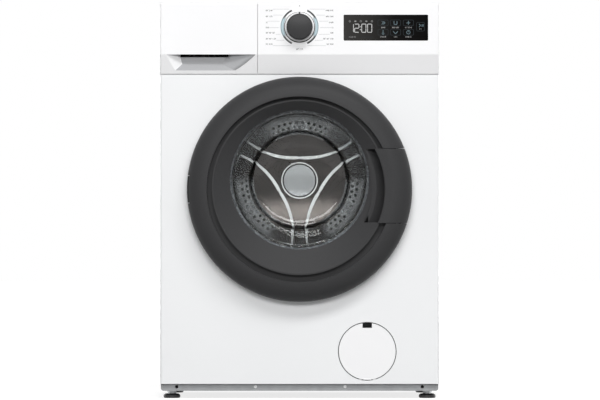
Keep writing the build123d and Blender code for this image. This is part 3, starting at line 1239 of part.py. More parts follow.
PIECES = {
    "side_panel_left": lambda: side_panel(-1),
    "side_panel_right": lambda: side_panel(1),
    "front_panel": front_panel,
    "rear_panel": rear_panel,
    "rear_service_cover": rear_service_cover,
    "top_cover": top_cover,
    "base_tray": base_tray,
    "foot_lock_nuts": foot_lock_nuts,
    "control_fascia": control_fascia,
    "display_window": display_window,
    "dial_light_ring": dial_light_ring,
    "control_board": control_board,
    "dial_knob": dial_knob,
    "dial_skirt": dial_skirt,
    "drawer_front": drawer_front,
    "drawer_tray": drawer_tray,
    "dispenser_housing": dispenser_housing,
    "dispenser_hose": dispenser_hose,
    "inlet_valve": inlet_valve,
    "door_outer_ring": door_outer_ring,
    "door_front_frame": door_front_frame,
    "door_inner_frame": door_inner_frame,
    "door_glass": door_glass,
    "hinge_bracket": hinge_bracket,
    "handle_pin": handle_pin,
    "door_handle": door_handle,
    "door_hook": door_hook,
    "door_lock": door_lock,
    "door_gasket": door_gasket,
    "tub_front": tub_front,
    "tub_rear": tub_rear,
    "heater_element": heater_element,
    "front_counterweight": front_counterweight,
    "top_counterweight": top_counterweight,
    "drum_bearings": drum_bearings,
    "shaft_seal": shaft_seal,
    "drum_shell": drum_shell,
    "drum_back": drum_back,
    "drum_lifters": drum_lifters,
    "drum_spider": drum_spider,
    "drum_pulley": drum_pulley,
    "motor_body": motor_body,
    "motor_pulley": motor_pulley,
    "drive_belt": drive_belt,
    "damper_cylinders": damper_cylinders,
    "damper_rods": damper_rods,
    "suspension_springs": suspension_springs,
    "filter_pocket": filter_pocket,
    "filter_flap": filter_flap,
    "drain_filter": drain_filter,
    "drain_pump": drain_pump,
    "sump_hose": sump_hose,
    "drain_hose": drain_hose,
    "drain_outlet": drain_outlet,
    "cord_gland": cord_gland,
    "transit_caps": transit_caps,
}

os.makedirs("parts", exist_ok=True)
for name, make in PIECES.items():
    export_step(make(), f"parts/{name}.step")
for corner, (foot_x, foot_y) in foot_places().items():
    export_step(foot(foot_x, foot_y), f"parts/foot_{corner}.step")
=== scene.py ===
# Front load washing machine: finishes, printed marks, fasteners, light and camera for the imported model.
# Metres, +Z up, +X to the viewer's right, +Y from the front of the machine to its back.
import math

import bpy
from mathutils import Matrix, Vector


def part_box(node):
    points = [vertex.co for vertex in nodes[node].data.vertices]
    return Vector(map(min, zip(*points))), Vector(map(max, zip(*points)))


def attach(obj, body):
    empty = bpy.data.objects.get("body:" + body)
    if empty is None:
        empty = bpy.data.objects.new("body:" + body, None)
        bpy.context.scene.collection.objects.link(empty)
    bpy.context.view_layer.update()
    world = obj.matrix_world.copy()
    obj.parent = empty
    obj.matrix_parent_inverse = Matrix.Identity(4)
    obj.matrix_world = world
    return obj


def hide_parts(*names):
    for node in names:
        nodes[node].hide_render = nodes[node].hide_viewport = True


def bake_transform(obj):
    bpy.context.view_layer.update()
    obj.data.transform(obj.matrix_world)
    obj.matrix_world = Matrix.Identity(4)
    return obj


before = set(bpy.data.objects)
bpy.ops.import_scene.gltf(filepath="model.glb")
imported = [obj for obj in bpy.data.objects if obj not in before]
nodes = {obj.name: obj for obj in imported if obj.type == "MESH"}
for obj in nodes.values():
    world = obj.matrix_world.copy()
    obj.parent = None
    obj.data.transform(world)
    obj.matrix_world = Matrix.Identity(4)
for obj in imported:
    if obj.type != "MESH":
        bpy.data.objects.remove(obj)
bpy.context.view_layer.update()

# Base tray
# The pan under the cabinet is pressed steel sheet in a grey primer; only its front edge shows, the plinth.
# Primer is matt and picks up a little dust. Two pan head screws, painted white, hold it to the front panel.
DUST = 0.02
CHIP = 0.001
HEAD_SIDES = 24
DOME_SHARE = 0.6
RECESS_RIM = 0.25
RECESS_SHARE = 0.5
ALONG = 0.9
SQUARE_ON = 0.99
PLINTH_HEAD = (0.0034, 0.0018)
PLINTH_SCREW_X = (-0.094, 0.097)
PLINTH_SCREW_Z = 0.0248


def linear(code):
    """Linear RGBA of an sRGB hex colour such as F2F3F4."""
    channels = [int(code[i:i + 2], 16) / 255 for i in (0, 2, 4)]
    flat = [c / 12.92 if c <= 0.04045 else ((c + 0.055) / 1.055) ** 2.4 for c in channels]
    return (*flat, 1.0)


def add_node(tree, kind, sockets=None, stops=(), **settings):
    """Add a shader node with its settings.

    A socket takes a value or another node's output, and a ramp takes (position, hex) stops.
    """
    node = tree.nodes.new(kind)
    for name, value in settings.items():
        setattr(node, name, value)
    for name, value in (sockets or {}).items():
        if isinstance(value, bpy.types.NodeSocket):
            tree.links.new(value, node.inputs[name])
        else:
            node.inputs[name].default_value = value
    if stops:
        ramp = node.color_ramp.elements
        while len(ramp) < len(stops):
            ramp.new(0.5)
        for element, (position, code) in zip(ramp, stops):
            element.position = position
            element.color = linear(code)
    return node


def new_material(name, surface):
    """Material with the shader's own values set, and its node tree and shader."""
    material = bpy.data.materials.new(name)
    material.use_nodes = True
    shader = material.node_tree.nodes["Principled BSDF"]
    for socket, value in surface.items():
        shader.inputs[socket].default_value = value
    return material, material.node_tree, shader


def mottled(name, low, high, noise, surface, stops=(0.3, 0.7), relief=None):
    """Finish that wanders between two shades with a noise.

    The surface holds the shader's own values, and the relief is the noise, strength and depth of a bump.
    """
    material, tree, shader = new_material(name, surface)
    place = add_node(tree, "ShaderNodeTexCoord").outputs["Object"]
    patches = add_node(tree, "ShaderNodeTexNoise", {"Vector": place, **noise}).outputs["Fac"]
    shades = add_node(tree, "ShaderNodeValToRGB", {"Fac": patches}, stops=tuple(zip(stops, (low, high))))
    tree.links.new(shades.outputs["Color"], shader.inputs["Base Color"])
    if relief:
        grain, strength, depth = relief
        rise = add_node(tree, "ShaderNodeTexNoise", {"Vector": place, **grain}).outputs["Fac"]
        bump = add_node(tree, "ShaderNodeBump", {"Height": rise, "Strength": strength, "Distance": depth})
        tree.links.new(bump.outputs["Normal"], shader.inputs["Normal"])
    return material


def dress(material, *names):
    """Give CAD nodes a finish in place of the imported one."""
    for name in names:
        slots = nodes[name].data.materials
        slots.clear()
        slots.append(material)


def start(add, **settings):
    """Deselect everything, add a primitive by its operator and hand back the new object."""
    bpy.ops.object.select_all(action="DESELECT")
    add(**settings)
    return bpy.context.object


def only(*pieces):
    """Select these pieces alone and make the first one active."""
    bpy.ops.object.select_all(action="DESELECT")
    for piece in pieces:
        piece.select_set(True)
    bpy.context.view_layer.objects.active = pieces[0]


def on_faces(piece, wanted, *steps):
    """Run mesh operators, each with its settings, on the faces whose centre and normal pass the test."""
    bpy.ops.object.mode_set(mode="EDIT")
    bpy.ops.mesh.select_mode(type="FACE")
    bpy.ops.mesh.select_all(action="DESELECT")
    bpy.ops.object.mode_set(mode="OBJECT")
    for face in piece.data.polygons:
        face.select = wanted(face.center, face.normal)
    bpy.ops.object.mode_set(mode="EDIT")
    for operator, settings in steps:
        operator(**settings)
    bpy.ops.object.mode_set(mode="OBJECT")


def smooth(degrees):
    """Shade the active piece smooth, apart from edges sharper than this."""
    bpy.ops.object.shade_smooth_by_angle(angle=math.radians(degrees))


def join(pieces):
    """Like meshes as one piece."""
    only(*pieces)
    bpy.ops.object.join()
    return pieces[0]


def settle(piece, name, material):
    """Put a finished piece's place into its mesh, name it and give it its finish."""
    only(piece)
    bpy.ops.object.transform_apply(location=True, rotation=True, scale=True)
    piece.name = name
    piece.data.materials.clear()
    piece.data.materials.append(material)
    return piece


def pan_head(radius, height):
    """Screw head at the origin that faces along +Z: domed rim and a driver recess."""
    head = start(
        bpy.ops.mesh.primitive_cylinder_add,
        vertices=HEAD_SIDES, radius=radius, depth=height, location=(0, 0, height / 2),
    )
    bpy.ops.object.transform_apply(location=True)
    dome = (bpy.ops.mesh.bevel, {"offset": height * DOME_SHARE, "segments": 3, "affect": "EDGES"})
    on_faces(head, lambda centre, normal: normal.z > ALONG, dome)
    rim = (bpy.ops.mesh.inset, {"thickness": radius * RECESS_RIM})
    drop = {"value": (0, 0, -height * RECESS_SHARE)}
    recess = (bpy.ops.mesh.extrude_region_move, {"TRANSFORM_OT_translate": drop})
    on_faces(head, lambda centre, normal: normal.z > SQUARE_ON and centre.z > 0, rim, recess)
    smooth(40)
    return head


def screws(places, facing, size):
    """Copies of one head, of a radius and height, at (x, y, z) places; facing is -1 or 1 along Y."""
    first = pan_head(*size)
    heads = []
    for place in places:
        head = first.copy()
        head.data = first.data.copy()
        bpy.context.scene.collection.objects.link(head)
        head.rotation_euler = (math.radians(-90 * facing), 0, 0)
        head.location = place
        heads.append(head)
    bpy.data.objects.remove(first)
    return join(heads)


primer = mottled(
    "grey_primed_steel", "949698", "A0A2A4", {"Scale": 1 / DUST, "Detail": 4.0}, {"Roughness": 0.55},
)
dress(primer, "base_tray")

white_paint = mottled(
    "white_painted_screw", "DADBDC", "ECECEC", {"Scale": 1 / CHIP, "Detail": 3.0}, {"Roughness": 0.35},
    stops=(0.3, 0.6),
)
plinth_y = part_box("base_tray")[0][1]
plinth_screws = screws([(x, plinth_y, PLINTH_SCREW_Z) for x in PLINTH_SCREW_X], -1, PLINTH_HEAD)
settle(plinth_screws, "plinth_screws", white_paint)
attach(plinth_screws, "cabinet")

# Feet
# Glass filled nylon pads on threaded studs, locked by hexagon nuts against the tray.
# The filler leaves a dull, slightly mottled charcoal, drawn coarse enough to show; the gland, the drain
# pieces and the lock are the same stock.
FILLER = 0.002
filler = {"Scale": 1 / FILLER, "Detail": 4.0}
nylon = mottled(
    "filled_black_nylon", "1A1A1B", "28282A", filler, {"Roughness": 0.5},
    stops=(0.35, 0.7), relief=(filler, 0.15, 0.0003),
)
dress(
    nylon, "foot_front_left", "foot_front_right", "foot_rear_left", "foot_rear_right", "cord_gland",
    "drain_outlet", "drain_pump", "door_lock",
)

# Painted cabinet
# The two sides and the front are pressed from steel sheet and powder coated in gloss white.
# The cured coat flows into a faint orange peel that softens every highlight.
PEEL = 0.003
DRIFT = 0.3
enamel = mottled(
    "powder_coated_steel", "F0F1F2", "F3F4F5", {"Scale": 1 / DRIFT, "Detail": 1.0},
    {"Roughness": 0.3, "Coat Weight": 0.25, "Coat Roughness": 0.12},
    relief=({"Scale": 1 / PEEL, "Detail": 2.0}, 0.05, 0.0003),
)
dress(enamel, "side_panel_left", "side_panel_right", "front_panel")

# Back of the cabinet
# The rear panel, its belt cover and the small plated pieces are hot dip galvanised sheet and wire.
# Zinc freezes in spangles about a centimetre across; pan head screws hold the sheets round the edge.
SPANGLE = 0.012
SCREW_INSET = 0.009
END_INSET = 2 * SCREW_INSET
SIDE_SCREWS = 5
REAR_HEAD = (0.0048, 0.0026)
COVER_HEAD = (0.0052, 0.0028)
COVER_RISE = 0.0038
HEAD_SINK = 0.0002
galvanised, tree, shader = new_material("galvanised_sheet", {"Metallic": 0.8})
place = add_node(tree, "ShaderNodeTexCoord").outputs["Object"]
spangle = add_node(
    tree, "ShaderNodeTexVoronoi", {"Vector": place, "Scale": 1 / SPANGLE, "Randomness": 1.0},
).outputs["Color"]
shades = add_node(tree, "ShaderNodeValToRGB", {"Fac": spangle}, stops=((0.1, "A6A9AB"), (0.9, "B1B3B5")))
tree.links.new(shades.outputs["Color"], shader.inputs["Base Color"])
spread = add_node(tree, "ShaderNodeMapRange", {"Value": spangle, "To Min": 0.40, "To Max": 0.46})
tree.links.new(spread.outputs["Result"], shader.inputs["Roughness"])
dress(
    galvanised, "rear_panel", "rear_service_cover", "foot_lock_nuts", "handle_pin", "damper_cylinders",
    "damper_rods", "motor_pulley", "drum_bearings", "heater_element",
)

rear_low, rear_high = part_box("rear_panel")
rise = (rear_high[2] - rear_low[2] - 2 * END_INSET) / (SIDE_SCREWS - 1)
rear_places = [
    (x, rear_high[1], rear_low[2] + END_INSET + rise * i)
    for x in (rear_low[0] + SCREW_INSET, rear_high[0] - SCREW_INSET)
    for i in range(SIDE_SCREWS)
]
rear_screws = screws(rear_places, 1, REAR_HEAD)
settle(rear_screws, "rear_panel_screws", galvanised)
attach(rear_screws, "cabinet")

cover_low, cover_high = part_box("rear_service_cover")
cover_places = [
    (x, cover_high[1] - COVER_RISE - HEAD_SINK, z)
    for x in (cover_low[0] + SCREW_INSET, (cover_low[0] + cover_high[0]) / 2, cover_high[0] - SCREW_INSET)
    for z in (cover_low[2] + SCREW_INSET, cover_high[2] - SCREW_INSET)
]
cover_screws = screws(cover_places, 1, COVER_HEAD)
settle(cover_screws, "rear_cover_screws", galvanised)
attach(cover_screws, "cabinet")

# Suspension springs
# Two hanging springs carry the tub, each wound from spring steel wire.
# Each is a helix about its own line, with a straight end of wire above it and below it.
COIL_R = 0.0125
COIL_STEPS = 24
COIL_MARGIN = 0.001
TURNS = 14
WIRE_R = 0.0020
WIRE_SIDES = 10
WIRE_EDGE = WIRE_R * 0.3
END_WIRE = 0.024
MERGE = 0.00001
DRAW_MARK = 0.0015


def whole(operator, **settings):
    """Run a mesh operator on all of the active mesh."""
    bpy.ops.object.mode_set(mode="EDIT")
    bpy.ops.mesh.select_all(action="SELECT")
    operator(**settings)
    bpy.ops.object.mode_set(mode="OBJECT")


spring_low, spring_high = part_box("suspension_springs")
coil_z0 = spring_low[2] + END_WIRE
coil_z1 = spring_high[2] - END_WIRE
axis_y = (spring_low[1] + spring_high[1]) / 2
spring_parts = []
for side in (-1, 1):
    axis_x = side * (spring_high[0] - COIL_R - COIL_MARGIN)
    wire = start(bpy.ops.mesh.primitive_circle_add, vertices=WIRE_SIDES, radius=WIRE_R, location=(0, 0, 0))
    wire.rotation_euler = (math.radians(90), 0, 0)
    wire.location = (COIL_R, 0, 0)
    bpy.ops.object.transform_apply(location=True, rotation=True)
    wind = wire.modifiers.new("wind", "SCREW")
    wind.angle = 2 * math.pi
    wind.iterations = TURNS
    wind.steps = COIL_STEPS
    wind.render_steps = COIL_STEPS
    wind.screw_offset = (coil_z1 - coil_z0) / TURNS
    bpy.ops.object.modifier_apply(modifier="wind")
    wire.location = (axis_x, axis_y, coil_z0)
    spring_parts.append(wire)
    for end_z, tip_z in ((coil_z0, spring_low[2] + WIRE_R), (coil_z1, spring_high[2] - WIRE_R)):
        stem = start(
            bpy.ops.mesh.primitive_cylinder_add, vertices=WIRE_SIDES, radius=WIRE_R,
            depth=abs(tip_z - end_z), location=(axis_x, axis_y, (tip_z + end_z) / 2),
        )
        edge = (bpy.ops.mesh.bevel, {"offset": WIRE_EDGE, "segments": 2, "affect": "EDGES"})
        on_faces(stem, lambda centre, normal: abs(normal.z) > ALONG, edge)
        spring_parts.append(stem)
springs = join(spring_parts)
whole(bpy.ops.mesh.remove_doubles, threshold=MERGE)
whole(bpy.ops.mesh.fill_holes, sides=0)
whole(bpy.ops.mesh.normals_make_consistent, inside=False)
smooth(50)

spring_steel = mottled(
    "phosphated_spring_steel", "4A4B4D", "5C5D5F", {"Scale": 1 / DRAW_MARK, "Detail": 2.0},
    {"Metallic": 0.8, "Roughness": 0.45},
)
settle(springs, "spring_coils", spring_steel)
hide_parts("suspension_springs")
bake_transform(springs)

# Tub and trays
# The tub halves, the drawer tray and its housing, the filter and the lifters are moulded polypropylene.
# Polypropylene is waxy, with a low sheen and faint flow marks that fan out from the gate.
FLOW = 0.015
for name, low, high, dressed in (
    ("milky_polypropylene", "C9C8C2", "D6D5CF", ("tub_front", "tub_rear")),
    ("dark_polypropylene", "2E3033", "3A3C3F", ("drum_lifters",)),
    ("white_polypropylene", "E6E6E4", "EEEEEC", ("dispenser_housing", "drawer_tray", "inlet_valve")),
    ("grey_polypropylene", "8B8E91", "97999C", ("drain_filter", "filter_pocket", "transit_caps")),
):
    flow = {"Scale": 1 / FLOW, "Detail": 3.0, "Distortion": 1.0}
    dress(mottled(name, low, high, flow, {"Roughness": 0.4}), *dressed)

# Drum
# The shell is rolled stainless steel with rows of drain holes, dished inwards round each hole.
# The holes are drawn on the wall in a staggered grid, because thousands of them would be too many faces.
HOLE_PITCH = 0.016
HOLE_RADIUS = 0.0034
HOLE_EDGE = (0.8, 1.05)
HOLE_DISH = (0.8, 1.9)
drum_low, drum_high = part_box("drum_shell")
drum_z = (drum_low[2] + drum_high[2]) / 2
drum_radius = (drum_high[2] - drum_low[2]) / 2
holes_round = round(2 * math.pi * drum_radius / HOLE_PITCH)
stainless, tree, shader = new_material("perforated_stainless_steel", {"Roughness": 0.18})
place = add_node(tree, "ShaderNodeTexCoord").outputs["Object"]
axis = add_node(tree, "ShaderNodeSeparateXYZ", {"Vector": place})
height = add_node(tree, "ShaderNodeMath", {0: axis.outputs["Z"], 1: drum_z}, operation="SUBTRACT")
angle = add_node(tree, "ShaderNodeMath", {0: height.outputs[0], 1: axis.outputs["X"]}, operation="ARCTAN2")
around = add_node(
    tree, "ShaderNodeMath", {0: angle.outputs[0], 1: holes_round / (2 * math.pi)}, operation="MULTIPLY",
)
along = add_node(tree, "ShaderNodeMath", {0: axis.outputs["Y"], 1: 1 / HOLE_PITCH}, operation="MULTIPLY")
row = add_node(tree, "ShaderNodeMath", {0: along.outputs[0]}, operation="FLOOR")
odd = add_node(tree, "ShaderNodeMath", {0: row.outputs[0], 1: 2.0}, operation="FLOORED_MODULO")
shifted = add_node(
    tree, "ShaderNodeMath", {0: odd.outputs[0], 1: 0.5, 2: around.outputs[0]}, operation="MULTIPLY_ADD",
)
cell_x = add_node(tree, "ShaderNodeMath", {0: shifted.outputs[0]}, operation="FRACT")
cell_y = add_node(tree, "ShaderNodeMath", {0: along.outputs[0]}, operation="FRACT")
cell = add_node(tree, "ShaderNodeCombineXYZ", {"X": cell_x.outputs[0], "Y": cell_y.outputs[0]})
middle = add_node(
    tree, "ShaderNodeVectorMath", {0: cell.outputs[0], 1: (0.5, 0.5, 0.0)}, operation="DISTANCE",
).outputs["Value"]
rim = HOLE_RADIUS / HOLE_PITCH
wall, dish = [
    add_node(
        tree, "ShaderNodeMapRange", {"Value": middle, "From Min": rim * inner, "From Max": rim * outer},
    ).outputs["Result"]
    for inner, outer in (HOLE_EDGE, HOLE_DISH)
]
shades = add_node(tree, "ShaderNodeValToRGB", {"Fac": wall}, stops=((0.0, "0A0A0B"), (1.0, "A6A7A9")))
tree.links.new(shades.outputs["Color"], shader.inputs["Base Color"])
bump = add_node(tree, "ShaderNodeBump", {"Height": dish, "Strength": 0.6, "Distance": 0.001})
tree.links.new(bump.outputs["Normal"], shader.inputs["Normal"])
tree.links.new(wall, shader.inputs["Metallic"])
dress(stainless, "drum_shell")

# Drum back
# A deep drawn stainless disc with three arms and a hub cap, dished a little, so its lower half is lighter.
# The flat steel and the drain holes of the lobes are painted dark as shade in the drum; the cap and the
# lobes of the outer band are painted lighter as lit steel, and the folds are painted bright as highlights.
# Fine lines run round it.
DISH_RISE = 1.3
DISH_R = 0.109
HUB_R = 0.0385
BAND_R = (0.109, 0.112)
ARMS = 3
ARM_EDGE = (-0.2, 0.3)
LINE = 0.0015
DRAIN_ROWS = (0.1180, 0.1285)
DRAIN_STEP = 0.1041
DRAIN_RIM = 0.0034
FOLD_HIGHLIGHT_STOPS = ((0.25, "000000"), (0.4, "FFFFFF"), (0.75, "FFFFFF"), (0.9, "000000"))
FOLD_SHARE = 0.05


def from_centre(tree, centre_z):
    """Place on a round front, from its centre: sideways, up, and both as one vector."""
    place = add_node(tree, "ShaderNodeTexCoord").outputs["Object"]
    axis = add_node(tree, "ShaderNodeSeparateXYZ", {"Vector": place}).outputs
    up = add_node(tree, "ShaderNodeMath", {0: axis["Z"], 1: centre_z}, operation="SUBTRACT").outputs[0]
    both = add_node(tree, "ShaderNodeCombineXYZ", {"X": axis["X"], "Y": up})
    return axis["X"], up, both.outputs[0]


pressed_steel, tree, shader = new_material(
    "deep_drawn_stainless_steel", {"Metallic": 1.0, "Roughness": 0.18},
)
sideways, up, flat = from_centre(tree, drum_z)
radius = add_node(tree, "ShaderNodeVectorMath", {0: flat}, operation="LENGTH").outputs["Value"]
dished_to = add_node(tree, "ShaderNodeMath", {0: radius, 1: DISH_R}, operation="MINIMUM")
square = add_node(tree, "ShaderNodeMath", {0: dished_to.outputs[0], 1: 2.0}, operation="POWER")
bowl = add_node(tree, "ShaderNodeMath", {0: square.outputs[0], 1: DISH_RISE}, operation="MULTIPLY")
dished = add_node(tree, "ShaderNodeBump", {"Height": bowl.outputs[0], "Strength": 1.0, "Distance": 1.0})
lines = add_node(
    tree, "ShaderNodeTexNoise", {"W": radius, "Scale": 1 / LINE, "Detail": 2.0}, noise_dimensions="1D",
).outputs["Fac"]
# Painted shade: the flat steel's dark colour. Painted light: the lighter colour of the cap and the lobes.
painted_shade_steel = add_node(tree, "ShaderNodeValToRGB", {"Fac": lines}, stops=((0.3, "34302E"), (0.7, "393532")))
painted_lit_steel = add_node(tree, "ShaderNodeValToRGB", {"Fac": lines}, stops=((0.3, "989898"), (0.7, "A0A0A0")))
cap = add_node(tree, "ShaderNodeMath", {0: radius, 1: HUB_R}, operation="LESS_THAN")
band = add_node(tree, "ShaderNodeMapRange", {"Value": radius, "From Min": BAND_R[0], "From Max": BAND_R[1]})
angle = add_node(tree, "ShaderNodeMath", {0: up, 1: sideways}, operation="ARCTAN2")
turned = add_node(tree, "ShaderNodeMath", {0: angle.outputs[0], 1: ARMS}, operation="MULTIPLY")
wave = add_node(tree, "ShaderNodeMath", {0: turned.outputs[0]}, operation="SINE")
between_arms = add_node(
    tree, "ShaderNodeMapRange",
    {
        "Value": wave.outputs[0], "From Min": ARM_EDGE[0], "From Max": ARM_EDGE[1],
        "To Min": 1.0, "To Max": 0.0,
    },
)
lobe = add_node(
    tree, "ShaderNodeMath", {0: band.outputs["Result"], 1: between_arms.outputs["Result"]},
    operation="MULTIPLY",
)
from_top = add_node(tree, "ShaderNodeMath", {0: angle.outputs[0], 1: math.pi / 2}, operation="SUBTRACT")
in_lobe = add_node(
    tree, "ShaderNodeMath", {0: from_top.outputs[0], 1: math.pi / ARMS, 2: -math.pi / ARMS},
    operation="WRAP",
)
for row, row_r in enumerate(DRAIN_ROWS):
    step = add_node(
        tree, "ShaderNodeMath", {0: in_lobe.outputs[0], 1: 1 / DRAIN_STEP, 2: row / 2},
        operation="MULTIPLY_ADD",
    ).outputs[0]
    nearest = add_node(tree, "ShaderNodeMath", {0: step}, operation="ROUND")
    aside = add_node(tree, "ShaderNodeMath", {0: step, 1: nearest.outputs[0]}, operation="SUBTRACT")
    round_it = add_node(
        tree, "ShaderNodeMath", {0: aside.outputs[0], 1: DRAIN_STEP * row_r}, operation="MULTIPLY",
    )
    outward = add_node(tree, "ShaderNodeMath", {0: radius, 1: row_r}, operation="SUBTRACT")
    spot = add_node(tree, "ShaderNodeCombineXYZ", {"X": round_it.outputs[0], "Y": outward.outputs[0]})
    away = add_node(tree, "ShaderNodeVectorMath", {0: spot.outputs[0]}, operation="LENGTH").outputs["Value"]
    clean = add_node(tree, "ShaderNodeMath", {0: away, 1: DRAIN_RIM}, operation="GREATER_THAN")
    lobe = add_node(tree, "ShaderNodeMath", {0: lobe.outputs[0], 1: clean.outputs[0]}, operation="MULTIPLY")
painted_light_mask = add_node(tree, "ShaderNodeMath", {0: cap.outputs[0], 1: lobe.outputs[0]}, operation="MAXIMUM")
faces = add_node(tree, "ShaderNodeMix", {0: painted_light_mask.outputs[0]}, data_type="RGBA")
tree.links.new(painted_shade_steel.outputs["Color"], faces.inputs["A"])
tree.links.new(painted_lit_steel.outputs["Color"], faces.inputs["B"])
sheet_normal = add_node(tree, "ShaderNodeNewGeometry").outputs["True Normal"]
facing = add_node(tree, "ShaderNodeSeparateXYZ", {"Vector": sheet_normal})
squareness = add_node(tree, "ShaderNodeMath", {0: facing.outputs["Y"]}, operation="ABSOLUTE")
# Painted highlight: faces turned away from the front, the folds, are coloured near white.
fold_highlight_mask = add_node(
    tree, "ShaderNodeValToRGB", {"Fac": squareness.outputs[0]}, stops=FOLD_HIGHLIGHT_STOPS,
).outputs["Color"]
fold_highlighted = add_node(tree, "ShaderNodeMix", {0: fold_highlight_mask}, data_type="RGBA")
tree.links.new(faces.outputs["Result"], fold_highlighted.inputs["A"])
fold_highlighted.inputs["B"].default_value = linear("DCDCDA")
tree.links.new(fold_highlighted.outputs["Result"], shader.inputs["Base Color"])
leaning = add_node(tree, "ShaderNodeVectorMath", {0: sheet_normal, "Scale": FOLD_SHARE}, operation="SCALE")
rounded = add_node(
    tree, "ShaderNodeVectorMath", {0: leaning.outputs[0], 1: (0.0, FOLD_SHARE - 1.0, 0.0)}, operation="ADD",
)
turn_in = add_node(tree, "ShaderNodeMix", {0: fold_highlight_mask}, data_type="VECTOR")
tree.links.new(dished.outputs["Normal"], turn_in.inputs["A"])
tree.links.new(rounded.outputs[0], turn_in.inputs["B"])
tree.links.new(turn_in.outputs["Result"], shader.inputs["Normal"])
dress(pressed_steel, "drum_back")

# Castings
# The spider, the pulley, the motor shell and the hook are die cast aluminium.
# A cast skin is pale grey and slightly grainy, with the grain drawn coarse enough to show.
SKIN = 0.0025
skin = {"Scale": 1 / SKIN, "Detail": 3.0}
cast = mottled(
    "die_cast_aluminium", "A9ABAD", "BCBEC0", skin, {"Metallic": 0.9, "Roughness": 0.42},
    relief=(skin, 0.2, 0.0003),
)
dress(cast, "door_hook", "drum_spider", "drum_pulley", "motor_body")

# Counterweights
# Cast concrete blocks bolted to the tub, so that it stays quiet while the drum spins.
# The skin is grey and sandy, and the stones under it stand out a little.
STONE = 0.007
SAND = 0.004
concrete = mottled(
    "cast_concrete", "85827D", "A09D97", {"Scale": 1 / SAND, "Detail": 6.0}, {"Roughness": 0.9},
)
tree = concrete.node_tree
place = add_node(tree, "ShaderNodeTexCoord").outputs["Object"]
stones = add_node(tree, "ShaderNodeTexVoronoi", {"Vector": place, "Scale": 1 / STONE})
bump = add_node(
    tree, "ShaderNodeBump", {"Height": stones.outputs["Distance"], "Strength": 0.5, "Distance": 0.001},
)
tree.links.new(bump.outputs["Normal"], tree.nodes["Principled BSDF"].inputs["Normal"])
dress(concrete, "front_counterweight", "top_counterweight")

# Rubber pieces
# The bellows is grey EPDM; the two sleeves of the tub, the drain hose, the belt and the seal are black EPDM.
# Moulded rubber is matt with a soft sheen and a bloom that varies over a few centimetres.
BLOOM = 0.03
bloom = {"Scale": 1 / BLOOM, "Detail": 4.0}
matt = {"Roughness": 0.55, "Sheen Weight": 0.15}
grey_rubber = mottled("grey_epdm_rubber", "3E4043", "4A4C4F", bloom, matt)
black_rubber = mottled("black_epdm_rubber", "171718", "222223", bloom, matt)
dress(black_rubber, "drain_hose", "drive_belt", "shaft_seal")

# Rubber between the cabinet and the tub
# The bellows and the two sleeves give as the tub bounces: one end is clamped to the cabinet, one to the tub.
# Each is its own moulding, copied from its CAD node and shaded smooth.
HELD_END = 0.003
COLLAR_DEPTH = 0.019
TUB_CLAMP = 0.013
SUMP_RISER = 0.056


def copy_of(node):
    """Merged copy of a CAD node, alone selected."""
    piece = bpy.data.objects.new(f"{node}_copy", nodes[node].data.copy())
    bpy.context.scene.collection.objects.link(piece)
    only(piece)
    whole(bpy.ops.mesh.remove_doubles, threshold=MERGE)
    return piece


bellows_low, bellows_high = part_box("door_gasket")
sleeve_low, sleeve_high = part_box("dispenser_hose")
sump_low, sump_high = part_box("sump_hose")
for name, node, slot, rubber, held, moving in (
    (
        "door_bellows", "door_gasket", "grey_rubber", grey_rubber,
        (0.0, bellows_low[1] + COLLAR_DEPTH, drum_z), (0.0, bellows_high[1] - TUB_CLAMP, drum_z),
    ),
    (
        "dispenser_sleeve", "dispenser_hose", "black_rubber", black_rubber,
        (sleeve_low[0], sleeve_low[1], sleeve_high[2] - HELD_END),
        (sleeve_low[0], sleeve_low[1], sleeve_low[2] + HELD_END),
    ),
    (
        "sump_sleeve", "sump_hose", "black_rubber", black_rubber,
        (0.0, sump_low[1], sump_high[2] - SUMP_RISER), (0.0, sump_low[1], sump_high[2] - HELD_END),
    ),
):
    sleeve = copy_of(node)
    smooth(30)
    settle(sleeve, name, rubber)
    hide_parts(node)
    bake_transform(sleeve)

# Door mouldings
# The outer ring, the funnel frame, the inner frame and the grip are charcoal ABS with a satin texture,
# snapped together round the glass; the hinge is painted to match. The texture is drawn coarser than it is,
# and shallow, so that it shows.
SATIN = 0.0012
satin = {"Scale": 1 / SATIN, "Detail": 2.0}
charcoal = mottled(
    "satin_charcoal_abs", "39393A", "3D3D3E", satin, {"Roughness": 0.42, "Specular IOR Level": 0.10},
    relief=(satin, 0.12, 0.0002),
)
dress(
    charcoal, "door_outer_ring", "door_front_frame", "door_inner_frame", "door_handle", "hinge_bracket",
)

# Door glass
# The bowl is pressed borosilicate glass, fire polished, held by its flange between the two frames.
# It is turned from one smooth section, and it is clear to shadow rays, so that the drum behind it is lit.
MM = 0.001
GLASS_SECTION_MM = (
    (0.0, 114.0), (58.0, 113.7), (86.5, 112.5), (98.0, 109.2), (104.0, 103.0), (107.0, 93.5), (114.5, 72.4),
    (120.0, 56.8), (126.0, 39.9), (132.0, 22.9), (136.0, 11.6), (138.4, 3.8), (140.3, 0.6), (143.0, 0.0),
)
GLASS_WALL = 0.003
GLASS_IOR = 1.47
SECTION_ORDER = 3
SECTION_STEPS = 6
TURN_STEPS = 192


def thicken(piece, wall, offset=-1.0):
    """Give the active sheet a wall."""
    solid = piece.modifiers.new("thicken", "SOLIDIFY")
    solid.thickness = wall
    solid.offset = offset
    bpy.ops.object.modifier_apply(modifier="thicken")


